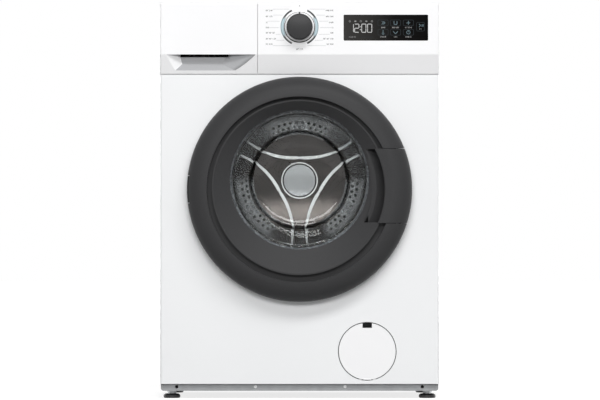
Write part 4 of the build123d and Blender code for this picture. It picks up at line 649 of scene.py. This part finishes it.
glass_low, glass_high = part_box("door_glass")
flange_r = (glass_high[0] - glass_low[0]) / 2
glass_z = (glass_low[2] + glass_high[2]) / 2
bowl = start(bpy.ops.curve.primitive_nurbs_path_add)
section = bowl.data.splines[0]
section.points.add(len(GLASS_SECTION_MM) + 1 - len(section.points))
for point, (out, behind) in zip(section.points, (*GLASS_SECTION_MM, (flange_r / MM, 0.0))):
    point.co = (out * MM, glass_low[1] + behind * MM, glass_z, 1.0)
section.order_u = SECTION_ORDER
section.use_endpoint_u = True
section.resolution_u = SECTION_STEPS
bpy.ops.object.convert(target="MESH")
bowl = bpy.context.object
whole(
    bpy.ops.mesh.spin,
    steps=TURN_STEPS, angle=2 * math.pi, center=(0.0, 0.0, glass_z), axis=(0.0, 1.0, 0.0),
)
whole(bpy.ops.mesh.remove_doubles, threshold=MERGE)
whole(bpy.ops.mesh.normals_make_consistent, inside=False)
facing_out = sum(face.normal.y * face.area for face in bowl.data.polygons) < 0
thicken(bowl, GLASS_WALL, -1.0 if facing_out else 1.0)
whole(bpy.ops.mesh.normals_make_consistent, inside=False)
smooth(50)

glass, tree, shader = new_material("pressed_borosilicate_glass", {
    "Base Color": linear("F4F7F8"), "Roughness": 0.0, "IOR": GLASS_IOR,
    "Specular Tint": linear("A8A8A8"), "Transmission Weight": 1.0,
})
shadow = add_node(tree, "ShaderNodeLightPath").outputs["Is Shadow Ray"]
clear = add_node(tree, "ShaderNodeBsdfTransparent", {"Color": linear("F0F3F4")})
blend = add_node(tree, "ShaderNodeMixShader", {0: shadow, 1: shader.outputs[0], 2: clear.outputs[0]})
tree.links.new(blend.outputs[0], tree.nodes["Material Output"].inputs["Surface"])
settle(bowl, "door_glass_bowl", glass)
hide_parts("door_glass")
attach(bowl, "door")

# Moulded white pieces
# The lid, the fascia, the drawer front, the filter cover and the dial skirt are injection moulded ABS.
# The tool is lightly spark eroded, so the white is a little softer than the enamel beside it. The grit is
# drawn coarser than it is, so that it shows.
GRIT = 0.0018
TINT = 0.2
white_abs = mottled(
    "moulded_white_abs", "F5F5F6", "F8F8F9", {"Scale": 1 / TINT, "Detail": 1.0}, {"Roughness": 0.36},
    relief=({"Scale": 1 / GRIT, "Detail": 3.0, "Roughness": 0.6}, 0.05, 0.0002),
)
dress(white_abs, "top_cover", "control_fascia", "drawer_front", "filter_flap", "dial_skirt")

# Drawer slot shade
# A thin black shell in the channel behind the drawer's finger hollow: painted shade of the deep slot.
# It is open to the front and below, so that the fingers hook behind the front. Its black is mottled
# coarsely.
SLOT_ENDS = (0.0440, 0.0622)
SLOT_DEPTHS = (0.0037, 0.0165)
SLOT_HEIGHTS = (0.7278, 0.7490)
SHADE_SHEET = 0.0005
SHADE_MOTTLE = 0.0008
front_low, front_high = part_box("drawer_front")
slot_spans = (
    (front_low[0] + SLOT_ENDS[0], front_high[0] - SLOT_ENDS[1]),
    (front_low[1] + SLOT_DEPTHS[0], front_low[1] + SLOT_DEPTHS[1]),
    SLOT_HEIGHTS,
)
# Black shell open to the front and below: painted shade.
slot_shade = start(bpy.ops.mesh.primitive_cube_add, size=1.0, location=[sum(span) / 2 for span in slot_spans])
slot_shade.scale = [span[1] - span[0] for span in slot_spans]
bpy.ops.object.transform_apply(location=True, scale=True)
cut_away = (bpy.ops.mesh.delete, {"type": "FACE"})
on_faces(slot_shade, lambda centre, normal: normal.y < -ALONG or normal.z < -ALONG, cut_away)
thicken(slot_shade, SHADE_SHEET)
shade_black = mottled(
    "painted_shade_black", "050505", "0B0B0B", {"Scale": 1 / SHADE_MOTTLE, "Detail": 2.0},
    {"Roughness": 0.95, "Specular IOR Level": 0.1},
)
settle(slot_shade, "drawer_slot_shade", shade_black)
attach(slot_shade, "drawer")

# Shade in the finger hollow
# A thin grey sheet laid in the finger hollow of the drawer front: painted shade of the hollow.
# It is cut from the hollow's own faces, so it follows them; the left end of the hollow stays white. The
# grain is drawn coarser than it is.
PAD = 0.0002
CREASE_DEPTH = 0.001
GRAIN = 0.0012


def outside_hollow(centre, normal):
    """Whether a face of the drawer front is not one that the pad covers."""
    looks_out = normal.y < -0.5 and normal.z > -0.2 and normal.x < 0.1
    return not (looks_out and centre.y > front_low[1] + CREASE_DEPTH and centre.z < SLOT_HEIGHTS[1])


pad = copy_of("drawer_front")
on_faces(pad, outside_hollow, cut_away)
whole(bpy.ops.transform.translate, value=(0.0, -PAD, 0.0))
thicken(pad, PAD / 2)
grain = {"Scale": 1 / GRAIN, "Detail": 2.0}
# Grey sheet over the hollow: painted shade.
hollow_shade = mottled(
    "painted_hollow_shade", "ABACAE", "B3B4B6", grain, {"Roughness": 0.6, "Specular IOR Level": 0.2},
    relief=(grain, 0.1, 0.0002),
)
settle(pad, "drawer_hollow_shade", hollow_shade)
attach(pad, "drawer")

# Circuit board
# Glass epoxy board under green solder mask; it sits behind the fascia and shows only with the lid off.
# The copper under the mask shows as a lighter grid.
TRACK = 0.012
board, tree, shader = new_material("green_solder_mask", {"Roughness": 0.3})
place = add_node(tree, "ShaderNodeTexCoord").outputs["Object"]
tracks = add_node(
    tree, "ShaderNodeTexBrick",
    {
        "Vector": place, "Scale": 1 / TRACK,
        "Color1": linear("1E6B42"), "Color2": linear("237A4B"), "Mortar": linear("2F8F5B"),
    },
)
tree.links.new(tracks.outputs["Color"], shader.inputs["Base Color"])
dress(board, "control_board")

# Display window
# A smoked acrylic strip flush in the fascia, near black, with a gloss face.
# Its colour is a little greyer towards its left end.
window_low, window_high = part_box("display_window")
smoked, tree, shader = new_material("smoked_acrylic", {"Roughness": 0.22, "Specular IOR Level": 0.04})
place = add_node(tree, "ShaderNodeTexCoord").outputs["Object"]
axis = add_node(tree, "ShaderNodeSeparateXYZ", {"Vector": place})
fade = add_node(
    tree, "ShaderNodeMapRange",
    {"Value": axis.outputs["X"], "From Min": window_low[0], "From Max": window_high[0]},
).outputs["Result"]
smoke = add_node(
    tree, "ShaderNodeValToRGB", {"Fac": fade},
    stops=((0.0, "3A3938"), (0.3, "2E2D2C"), (0.6, "100F0F"), (1.0, "040404")),
)
tree.links.new(smoke.outputs["Color"], shader.inputs["Base Color"])
dress(smoked, "display_window")

# Signs of the display
# Lit segments and touch keys behind the acrylic: a plain time, five lamps and seven outlined keys.
# They are flat marks on the face of the window, a twentieth of a millimetre thick, set out in millimetres.
INK = 0.00005
INK_SPREAD = 0.00006
INK_PATCH = 0.002
CAP_SHARE = 0.7
SEGMENTS = {"0": "abcdef", "1": "bc", "2": "abged"}
SEGMENT_PLACES = {
    "a": (0.0, -0.5, False), "b": (0.5, -0.25, True), "c": (0.5, 0.25, True), "d": (0.0, 0.5, False),
    "e": (-0.5, 0.25, True), "f": (-0.5, -0.25, True), "g": (0.0, 0.0, False),
}
SEGMENT = 1.35
SEGMENT_GAP = SEGMENT * 0.3
SEGMENT_CUT = SEGMENT * 0.45
DIGITS = (("1", 16.5), ("2", 28.0), ("0", 43.0), ("0", 55.5))
DIGIT_WIDTH = 9.0
DIGIT_HEIGHT = 17.5
DIGIT_DOWN = 28.6
COLON_R = 1.0
COLON_RIGHT = 35.6
COLON_DROPS = (-3.2, 3.2)
LAMPS = 5
LAMP_DOWN = 13.9
LAMP_FIRST = 13.2
LAMP_STEP = 11.75
BAR_LAMP = (4.4, 2.8, 0.9)
ROUND_LAMP = (2.1, 0.7)
SIGN_CAP = 3.0
SIGN_PLACE = (10.6, 47.5)
KEY_SIZE = (22.5, 13.0)
KEY_CORNER = 3.0
KEY_LINE = 0.6
KEY_RIGHTS = (84.0, 110.5, 138.0)
KEY_DOWNS = (17.3, 37.3)
START_KEY = (163.8, 25.5)
START_KEY_SIZE = (17.5, 19.0)
START_SIGN_RISE = 2.6
RULE = (26.0, 0.5, 0.1)
RULE_PLACE = (49.5, 47.5)
STROKE = 1.1
STROKE_CUT = 0.3
LOOP_LINE = 1.0
CHEVRON_LEAN = 40
CAPTION = 2.6
CAPTION_DROP = 10.0
START_CAPTION_DROP = 5.0
CAPTIONS = ("20 40", "15 30 45", "800 1200", "1 2 3", "0 1 2 3 4", "2 4 8 12")


def upright(piece, x, z, turn=0.0):
    """Stand a flat shape up so that it faces the viewer, turned in its own plane first."""
    piece.rotation_euler = (math.radians(90), math.radians(turn), 0)
    piece.location = (x, 0.0, z)
    return piece


def flat_bar(length, width, cut, x, z, turn=0.0, segments=1):
    """Flat bar with its four corners cut off, or rounded in several segments."""
    piece = start(bpy.ops.mesh.primitive_plane_add, size=1.0)
    piece.scale = (length, width, 1.0)
    bpy.ops.object.transform_apply(scale=True)
    whole(bpy.ops.mesh.bevel, offset=cut, segments=segments, affect="VERTICES")
    return upright(piece, x, z, turn)


def flat_round(radius, x, z, sides=24):
    piece = start(bpy.ops.mesh.primitive_circle_add, vertices=sides, radius=radius, fill_type="NGON")
    return upright(piece, x, z)


def hollow(piece, line):
    """Leave only a line along the edge of a flat shape."""
    inner = (bpy.ops.mesh.inset, {"thickness": line})
    on_faces(piece, lambda centre, normal: True, inner, cut_away)
    return piece


def printed(text, height, x, z, align):
    """Plain number as a flat mesh, by the height of its figures."""
    label = start(bpy.ops.object.text_add)
    label.data.body = text
    label.data.size = height / CAP_SHARE
    label.data.align_x = align
    label.data.align_y = "CENTER"
    label.data.resolution_u = 2
    label.data.offset = INK_SPREAD
    bpy.ops.object.convert(target="MESH")
    return upright(bpy.context.object, x, z)


def raise_ink(pieces, face, name, material):
    """Join flat marks, give them the thickness of their ink and settle them as one piece on a face."""
    mark = join(pieces)
    bpy.ops.object.transform_apply(location=True, rotation=True, scale=True)
    whole(bpy.ops.mesh.extrude_region_move, TRANSFORM_OT_translate={"value": (0, -INK, 0)})
    whole(bpy.ops.mesh.normals_make_consistent, inside=False)
    mark.location = (0.0, face, 0.0)
    return settle(mark, name, material)


def on_window(right, down):
    """Place in the frame of a point right of and below the window's upper left corner."""
    return window_low[0] + right * MM, window_high[2] - down * MM


def ink(name, low, high, glow=0.0):
    """Printed or lit mark between two near shades, uneven as a screen print is."""
    return mottled(
        name, low, high, {"Scale": 1 / INK_PATCH, "Detail": 2.0},
        {
            "Roughness": 0.5, "Specular IOR Level": 0.2,
            "Emission Color": linear(high), "Emission Strength": glow,
        },
    )


window_face = window_low[1]
clock = []
for digit, middle_x in DIGITS:
    for letter in SEGMENTS[digit]:
        across, drop, tall = SEGMENT_PLACES[letter]
        x, z = on_window(middle_x + across * DIGIT_WIDTH, DIGIT_DOWN + drop * DIGIT_HEIGHT)
        length = (DIGIT_HEIGHT / 2 if tall else DIGIT_WIDTH) - SEGMENT_GAP
        clock.append(flat_bar(length * MM, SEGMENT * MM, SEGMENT_CUT * MM, x, z, 90 if tall else 0))
for drop in COLON_DROPS:
    clock.append(flat_round(COLON_R * MM, *on_window(COLON_RIGHT, DIGIT_DOWN + drop), sides=12))
lit_white = ink("white_led_segments", "C4C4C4", "D6D6D6", glow=0.06)
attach(raise_ink(clock, window_face, "clock_digits", lit_white), "cabinet")

lamps = []
for i in range(LAMPS):
    x, z = on_window(LAMP_FIRST + LAMP_STEP * i, LAMP_DOWN)
    if i % 2:
        lamps.append(flat_bar(*(size * MM for size in BAR_LAMP), x, z))
    else:
        lamps.append(hollow(flat_round(ROUND_LAMP[0] * MM, x, z, sides=20), ROUND_LAMP[1] * MM))
lamps.append(printed("10 20 30", SIGN_CAP * MM, *on_window(*SIGN_PLACE), "LEFT"))
dim_white = ink("dim_led_signs", "7E7E7E", "909090", glow=0.1)
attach(raise_ink(lamps, window_face, "lamp_signs", dim_white), "cabinet")

key_places = [(right, down) for right in KEY_RIGHTS for down in KEY_DOWNS]
keys = [(place, KEY_SIZE) for place in key_places]
keys.append((START_KEY, START_KEY_SIZE))
outlines = []
for place, (wide, tall) in keys:
    key = flat_bar(wide * MM, tall * MM, KEY_CORNER * MM, *on_window(*place), segments=5)
    outlines.append(hollow(key, KEY_LINE * MM))
outlines.append(flat_bar(*(size * MM for size in RULE), *on_window(*RULE_PLACE)))
faint = ink("faint_key_outline", "262E32", "2E373B")
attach(raise_ink(outlines, window_face, "key_outlines", faint), "cabinet")


def stroke(right, down, length, turn):
    return flat_bar(length * MM, STROKE * MM, STROKE_CUT * MM, *on_window(right, down), turn)


def chevron(right, down, reach, turn):
    """Two strokes that meet in a point, turned about it."""
    strokes = []
    for lean in (-CHEVRON_LEAN, CHEVRON_LEAN):
        tilt = math.radians(turn + lean)
        x = right - math.cos(tilt) * reach / 2
        y = down + math.sin(tilt) * reach / 2
        strokes.append(stroke(x, y, reach, -math.degrees(tilt)))
    return strokes


def loop(right, down, radius):
    return hollow(flat_round(radius * MM, *on_window(right, down)), LOOP_LINE * MM)


left, middle_key, last = KEY_RIGHTS
upper, lower = KEY_DOWNS
start_right = START_KEY[0]
start_sign = START_KEY[1] - START_SIGN_RISE
icons = [
    *chevron(left + 1.0, upper, 5.0, 0), *chevron(left + 4.5, upper, 5.0, 0),
    stroke(middle_key - 3.2, upper - 0.6, 6.5, 90), stroke(middle_key + 3.2, upper - 0.6, 6.5, 90),
    stroke(middle_key, upper + 3.2, 6.2, 0),
    stroke(last, upper, 8.0, 0), stroke(last, upper, 8.0, 90),
    stroke(left, lower - 1.8, 6.0, 90), loop(left, lower + 2.6, 2.3),
    *chevron(middle_key, lower + 3.6, 8.0, -90),
    loop(last, lower, 4.2), stroke(last, lower - 1.2, 2.6, 90),
    *chevron(start_right + 0.5, start_sign, 5.0, 0),
    stroke(start_right + 3.2, start_sign, 5.5, 90), stroke(start_right + 5.6, start_sign, 5.5, 90),
]
pale_blue = ink("pale_blue_key_icons", "62757C", "70858D", glow=0.02)
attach(raise_ink(icons, window_face, "key_icons", pale_blue), "cabinet")

captions = [
    printed(text, CAPTION * MM, *on_window(right, down + CAPTION_DROP), "CENTER")
    for (right, down), text in zip(key_places, CAPTIONS)
]
start_caption = on_window(start_right, START_KEY[1] + START_CAPTION_DROP)
captions.append(printed("0 1", CAPTION * MM, *start_caption, "CENTER"))
caption_white = ink("white_key_numbers", "A8A8A8", "B8B8B8", glow=0.1)
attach(raise_ink(captions, window_face, "key_numbers", caption_white), "cabinet")

# Light ring of the dial
# Two moulded acrylic guides let into the fascia; the glow in the middle of each arc is painted into its
# colour.
# The ends are printed dark, and only their outer half: the inner half is white like the fascia.
GUIDE_R = (0.0336, 0.0404)
DARK_INNER_R = 0.0367
LIT_HALF_HEIGHT = (0.0155, 0.0215)
knob_low, knob_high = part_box("dial_knob")
dial_z = (knob_low[2] + knob_high[2]) / 2
guide, tree, shader = new_material("lit_acrylic_guide", {"Roughness": 0.3})
_, up, flat = from_centre(tree, dial_z)
rise = add_node(tree, "ShaderNodeMath", {0: up}, operation="ABSOLUTE")
radius = add_node(tree, "ShaderNodeVectorMath", {0: flat}, operation="LENGTH").outputs["Value"]
lit = add_node(
    tree, "ShaderNodeMapRange",
    {"Value": rise.outputs[0], "From Min": LIT_HALF_HEIGHT[0], "From Max": LIT_HALF_HEIGHT[1]},
).outputs["Result"]
white_part = add_node(tree, "ShaderNodeMath", {0: radius, 1: DARK_INNER_R}, operation="LESS_THAN")
inner_end = add_node(tree, "ShaderNodeMath", {0: white_part.outputs[0], 1: lit}, operation="MULTIPLY")
across = add_node(
    tree, "ShaderNodeMapRange", {"Value": radius, "From Min": GUIDE_R[0], "From Max": GUIDE_R[1]},
)
# Painted glow: pale icy blue, darker towards the guide's edges.
painted_glow = add_node(
    tree, "ShaderNodeValToRGB", {"Fac": across.outputs["Result"]},
    stops=((0.0, "7C929B"), (0.3, "B4C9D0"), (0.6, "BCD0D6"), (0.85, "8299A2"), (1.0, "55666E")),
)
dark_end = add_node(tree, "ShaderNodeMix", {0: lit}, data_type="RGBA")
tree.links.new(painted_glow.outputs["Color"], dark_end.inputs["A"])
dark_end.inputs["B"].default_value = linear("36383A")
bare_end = add_node(tree, "ShaderNodeMix", {0: inner_end.outputs[0]}, data_type="RGBA")
tree.links.new(dark_end.outputs["Result"], bare_end.inputs["A"])
bare_end.inputs["B"].default_value = linear("F2F2F3")
tree.links.new(bare_end.outputs["Result"], shader.inputs["Base Color"])
dress(guide, "dial_light_ring")

# Numbers round the dial
# Plain temperatures and times screen printed on the fascia in grey ink, a twentieth of a millimetre thick.
# A hair line goes from each towards its place on the ring.
NUMBER_CAP = 0.0030
NUMBER_EDGE = 0.0722
TOP_NUMBER_RISE = 0.0445
LOW_NUMBER_DROP = 0.0475
LEADER_R = 0.0435
LEADER_WIDTH = 0.00045
LEADER_GAP = 0.0015
MIDDLE_ROW = 3
ROW_Z = (0.8268, 0.8141, 0.8012, 0.7904, 0.7792, 0.7665, 0.7550)
LEFT_NUMBERS = ("60° 2:40", "40° 1:50", "15", "0:30", "20° 40° 60°", "30° 40° 1:20", "90° 3:10")
RIGHT_NUMBERS = ("1400 0:45", "800 1200", "0 400", "12", "1:00", "30° 60° 1:45", "20° 0:59")
fascia_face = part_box("control_fascia")[0][1]
numbers = [
    printed("0", NUMBER_CAP, 0.0, dial_z + TOP_NUMBER_RISE, "CENTER"),
    printed("60° 1:25", NUMBER_CAP, 0.0, dial_z - LOW_NUMBER_DROP, "CENTER"),
]
leaders = []
for side, texts, align in ((-1, LEFT_NUMBERS, "LEFT"), (1, RIGHT_NUMBERS, "RIGHT")):
    for row, (z, text) in enumerate(zip(ROW_Z, texts)):
        label = printed(text, NUMBER_CAP, side * NUMBER_EDGE, z, align)
        numbers.append(label)
        lean = (row < MIDDLE_ROW) - (row > MIDDLE_ROW)
        line_z = z + lean * NUMBER_CAP
        near = math.sqrt(LEADER_R ** 2 - (line_z - dial_z) ** 2)
        far = NUMBER_EDGE - label.dimensions.x - LEADER_GAP
        middle_x = side * (far + near) / 2
        if far - near > LEADER_GAP:
            leaders.append(flat_bar(far - near, LEADER_WIDTH, LEADER_WIDTH / 4, middle_x, line_z))
grey_ink = ink("grey_screen_print", "1C1C1D", "262627")
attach(raise_ink(numbers, fascia_face, "dial_numbers", grey_ink), "cabinet")
pale_ink = ink("pale_screen_print", "7E7F82", "88898C")
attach(raise_ink(leaders, fascia_face, "dial_leader_lines", pale_ink), "cabinet")

# Dial
# A moulded knob with a painted, slightly domed cap on a white skirt, pressed on the shaft of the encoder.
# The dome turns its upper edge to the light, and the flake of the paint is drawn coarse. A black bar on the
# skirt is the pointer. A thin black ring behind the skirt, set a little low, is painted shadow of the dial.
DOME = 4.2
FLAKE = 0.001
SHADOW_RING_R = 0.0330
SHADOW_RING_DROP = 0.0006
POINTER_WIDTH = 0.0034
POINTER_HEIGHT = 0.0040
POINTER_PROUD = 0.0012
POINTER_ROOT = 0.0012
POINTER_TUCK = 0.0002
POINTER_EDGE = 0.0005
knob_paint = mottled(
    "spun_grey_paint", "303031", "363637", {"Scale": 1 / FLAKE, "Detail": 2.0},
    {"Roughness": 0.38, "Specular IOR Level": 0.20},
)
tree = knob_paint.node_tree
flat = from_centre(tree, dial_z)[-1]
square = add_node(tree, "ShaderNodeVectorMath", {0: flat, 1: flat}, operation="DOT_PRODUCT")
dome = add_node(tree, "ShaderNodeMath", {0: square.outputs["Value"], 1: -DOME}, operation="MULTIPLY")
bump = add_node(tree, "ShaderNodeBump", {"Height": dome.outputs[0], "Strength": 1.0, "Distance": 1.0})
tree.links.new(bump.outputs["Normal"], tree.nodes["Principled BSDF"].inputs["Normal"])
dress(knob_paint, "dial_knob")

# Black ring round the skirt, dropped a little: painted shadow of the dial on the fascia.
shadow_ring = flat_round(SHADOW_RING_R, 0.0, dial_z - SHADOW_RING_DROP, sides=96)
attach(raise_ink([shadow_ring], fascia_face, "dial_shadow_ring", shade_black), "cabinet")
skirt_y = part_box("dial_skirt")[0][1]
knob_r = (knob_high[0] - knob_low[0]) / 2
pointer_y = skirt_y + (POINTER_ROOT - POINTER_PROUD) / 2
pointer_z = dial_z + knob_r + POINTER_HEIGHT / 2 - POINTER_TUCK
pointer = start(bpy.ops.mesh.primitive_cube_add, size=1.0, location=(0.0, pointer_y, pointer_z))
pointer.scale = (POINTER_WIDTH, POINTER_PROUD + POINTER_ROOT, POINTER_HEIGHT)
bpy.ops.object.transform_apply(location=True, scale=True)
edge = (bpy.ops.mesh.bevel, {"offset": POINTER_EDGE, "segments": 2, "affect": "EDGES"})
on_faces(pointer, lambda centre, normal: normal.y < -ALONG, edge)
settle(pointer, "dial_pointer", nylon)
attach(pointer, "dial")

# Room
# A pale paper floor that keeps the machine's shadow and a white surround that metal and glass show too.
# A wide strip softbox hangs high in front, a smaller one below it, and a lamp stands behind either side.
FLOOR_SIZE = 40.0
FLOOR_GLOW = (0.78, 1.0)
CLEAR_FLOOR = (1.0, 3.0)
AMBIENT = 0.12
FRONT_AIM = (0.0, -0.23, 0.45)
SIDE_AIM = (0.0, 0.0, 0.45)


def looked_at(tree):
    """1 for rays that show the surround to the eye, straight or by way of metal and glass."""
    rays = add_node(tree, "ShaderNodeLightPath").outputs
    mirrored = add_node(
        tree, "ShaderNodeMath", {0: rays["Is Glossy Ray"], 1: rays["Is Transmission Ray"]},
        operation="MAXIMUM",
    )
    seen = add_node(
        tree, "ShaderNodeMath", {0: rays["Is Camera Ray"], 1: mirrored.outputs[0]}, operation="MAXIMUM",
    )
    return seen.outputs[0]


floor = start(bpy.ops.mesh.primitive_plane_add, size=FLOOR_SIZE)
floor.name = "studio_floor"
paper, tree, shader = new_material("white_paper_floor", {
    "Base Color": linear("A2A2A2"), "Roughness": 0.9, "Specular IOR Level": 0.0,
})
place = add_node(tree, "ShaderNodeTexCoord").outputs["Object"]
reach = add_node(tree, "ShaderNodeVectorMath", {0: place}, operation="LENGTH")
lift = add_node(
    tree, "ShaderNodeMapRange",
    {
        "Value": reach.outputs["Value"], "From Min": CLEAR_FLOOR[0], "From Max": CLEAR_FLOOR[1],
        "To Min": FLOOR_GLOW[0], "To Max": FLOOR_GLOW[1],
    },
).outputs["Result"]
level = add_node(tree, "ShaderNodeMath", {0: looked_at(tree), 1: lift}, operation="MULTIPLY")
glow = add_node(tree, "ShaderNodeEmission", {"Strength": level.outputs[0]})
both = add_node(tree, "ShaderNodeAddShader", {0: shader.outputs[0], 1: glow.outputs[0]})
tree.links.new(both.outputs[0], tree.nodes["Material Output"].inputs["Surface"])
floor.data.materials.append(paper)

world = bpy.data.worlds.new("white_surround")
bpy.context.scene.world = world
world.use_nodes = True
tree = world.node_tree
strength = add_node(tree, "ShaderNodeMapRange", {"Value": looked_at(tree), "To Min": AMBIENT, "To Max": 1.0})
surround = tree.nodes["Background"]
surround.inputs["Color"].default_value = (1.0, 1.0, 1.0, 1.0)
tree.links.new(strength.outputs["Result"], surround.inputs["Strength"])

for name, place, aim, width, height, power in (
    ("key_softbox", (1.6, -6.77, 8.55), FRONT_AIM, 10.0, 2.2, 664.0),
    ("front_softbox", (0.0, -6.97, 3.05), FRONT_AIM, 6.4, 1.5, 266.0),
    ("left_softbox", (-2.8, 2.6, 0.9), SIDE_AIM, 1.6, 1.6, 70.0),
    ("right_softbox", (2.8, 2.6, 0.9), SIDE_AIM, 1.6, 1.6, 70.0),
):
    lamp = bpy.data.lights.new(name, "AREA")
    lamp.shape = "RECTANGLE"
    lamp.size = width
    lamp.size_y = height
    lamp.energy = power
    stand = bpy.data.objects.new(name, lamp)
    bpy.context.scene.collection.objects.link(stand)
    stand.location = place
    stand.rotation_euler = (Vector(aim) - Vector(place)).to_track_quat("-Z", "Y").to_euler()
    stand.visible_camera = False

# Camera
# Square on, level with the middle of the machine, from far enough off that only the front shows.
# The front panel is as many pixels wide as in the photograph.
LENS_MM = 400.0
SENSOR_MM = 36.0
PHOTO_WIDTH = 600.0
MACHINE_PIXELS = 279.0
EYE_X = 0.001
EYE_Z = 0.4232
FAR = 100.0
machine_low, machine_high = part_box("front_panel")
distance = (machine_high[0] - machine_low[0]) * LENS_MM / (SENSOR_MM * MACHINE_PIXELS / PHOTO_WIDTH)
camera = bpy.data.cameras.new("front_camera")
camera.lens = LENS_MM
camera.sensor_width = SENSOR_MM
camera.clip_end = FAR
viewer = bpy.data.objects.new("front_camera", camera)
bpy.context.scene.collection.objects.link(viewer)
viewer.location = (EYE_X, machine_low[1] - distance, EYE_Z)
viewer.rotation_euler = (math.radians(90.0), 0.0, 0.0)
bpy.context.scene.camera = viewer
bpy.context.scene.view_settings.view_transform = "Standard"
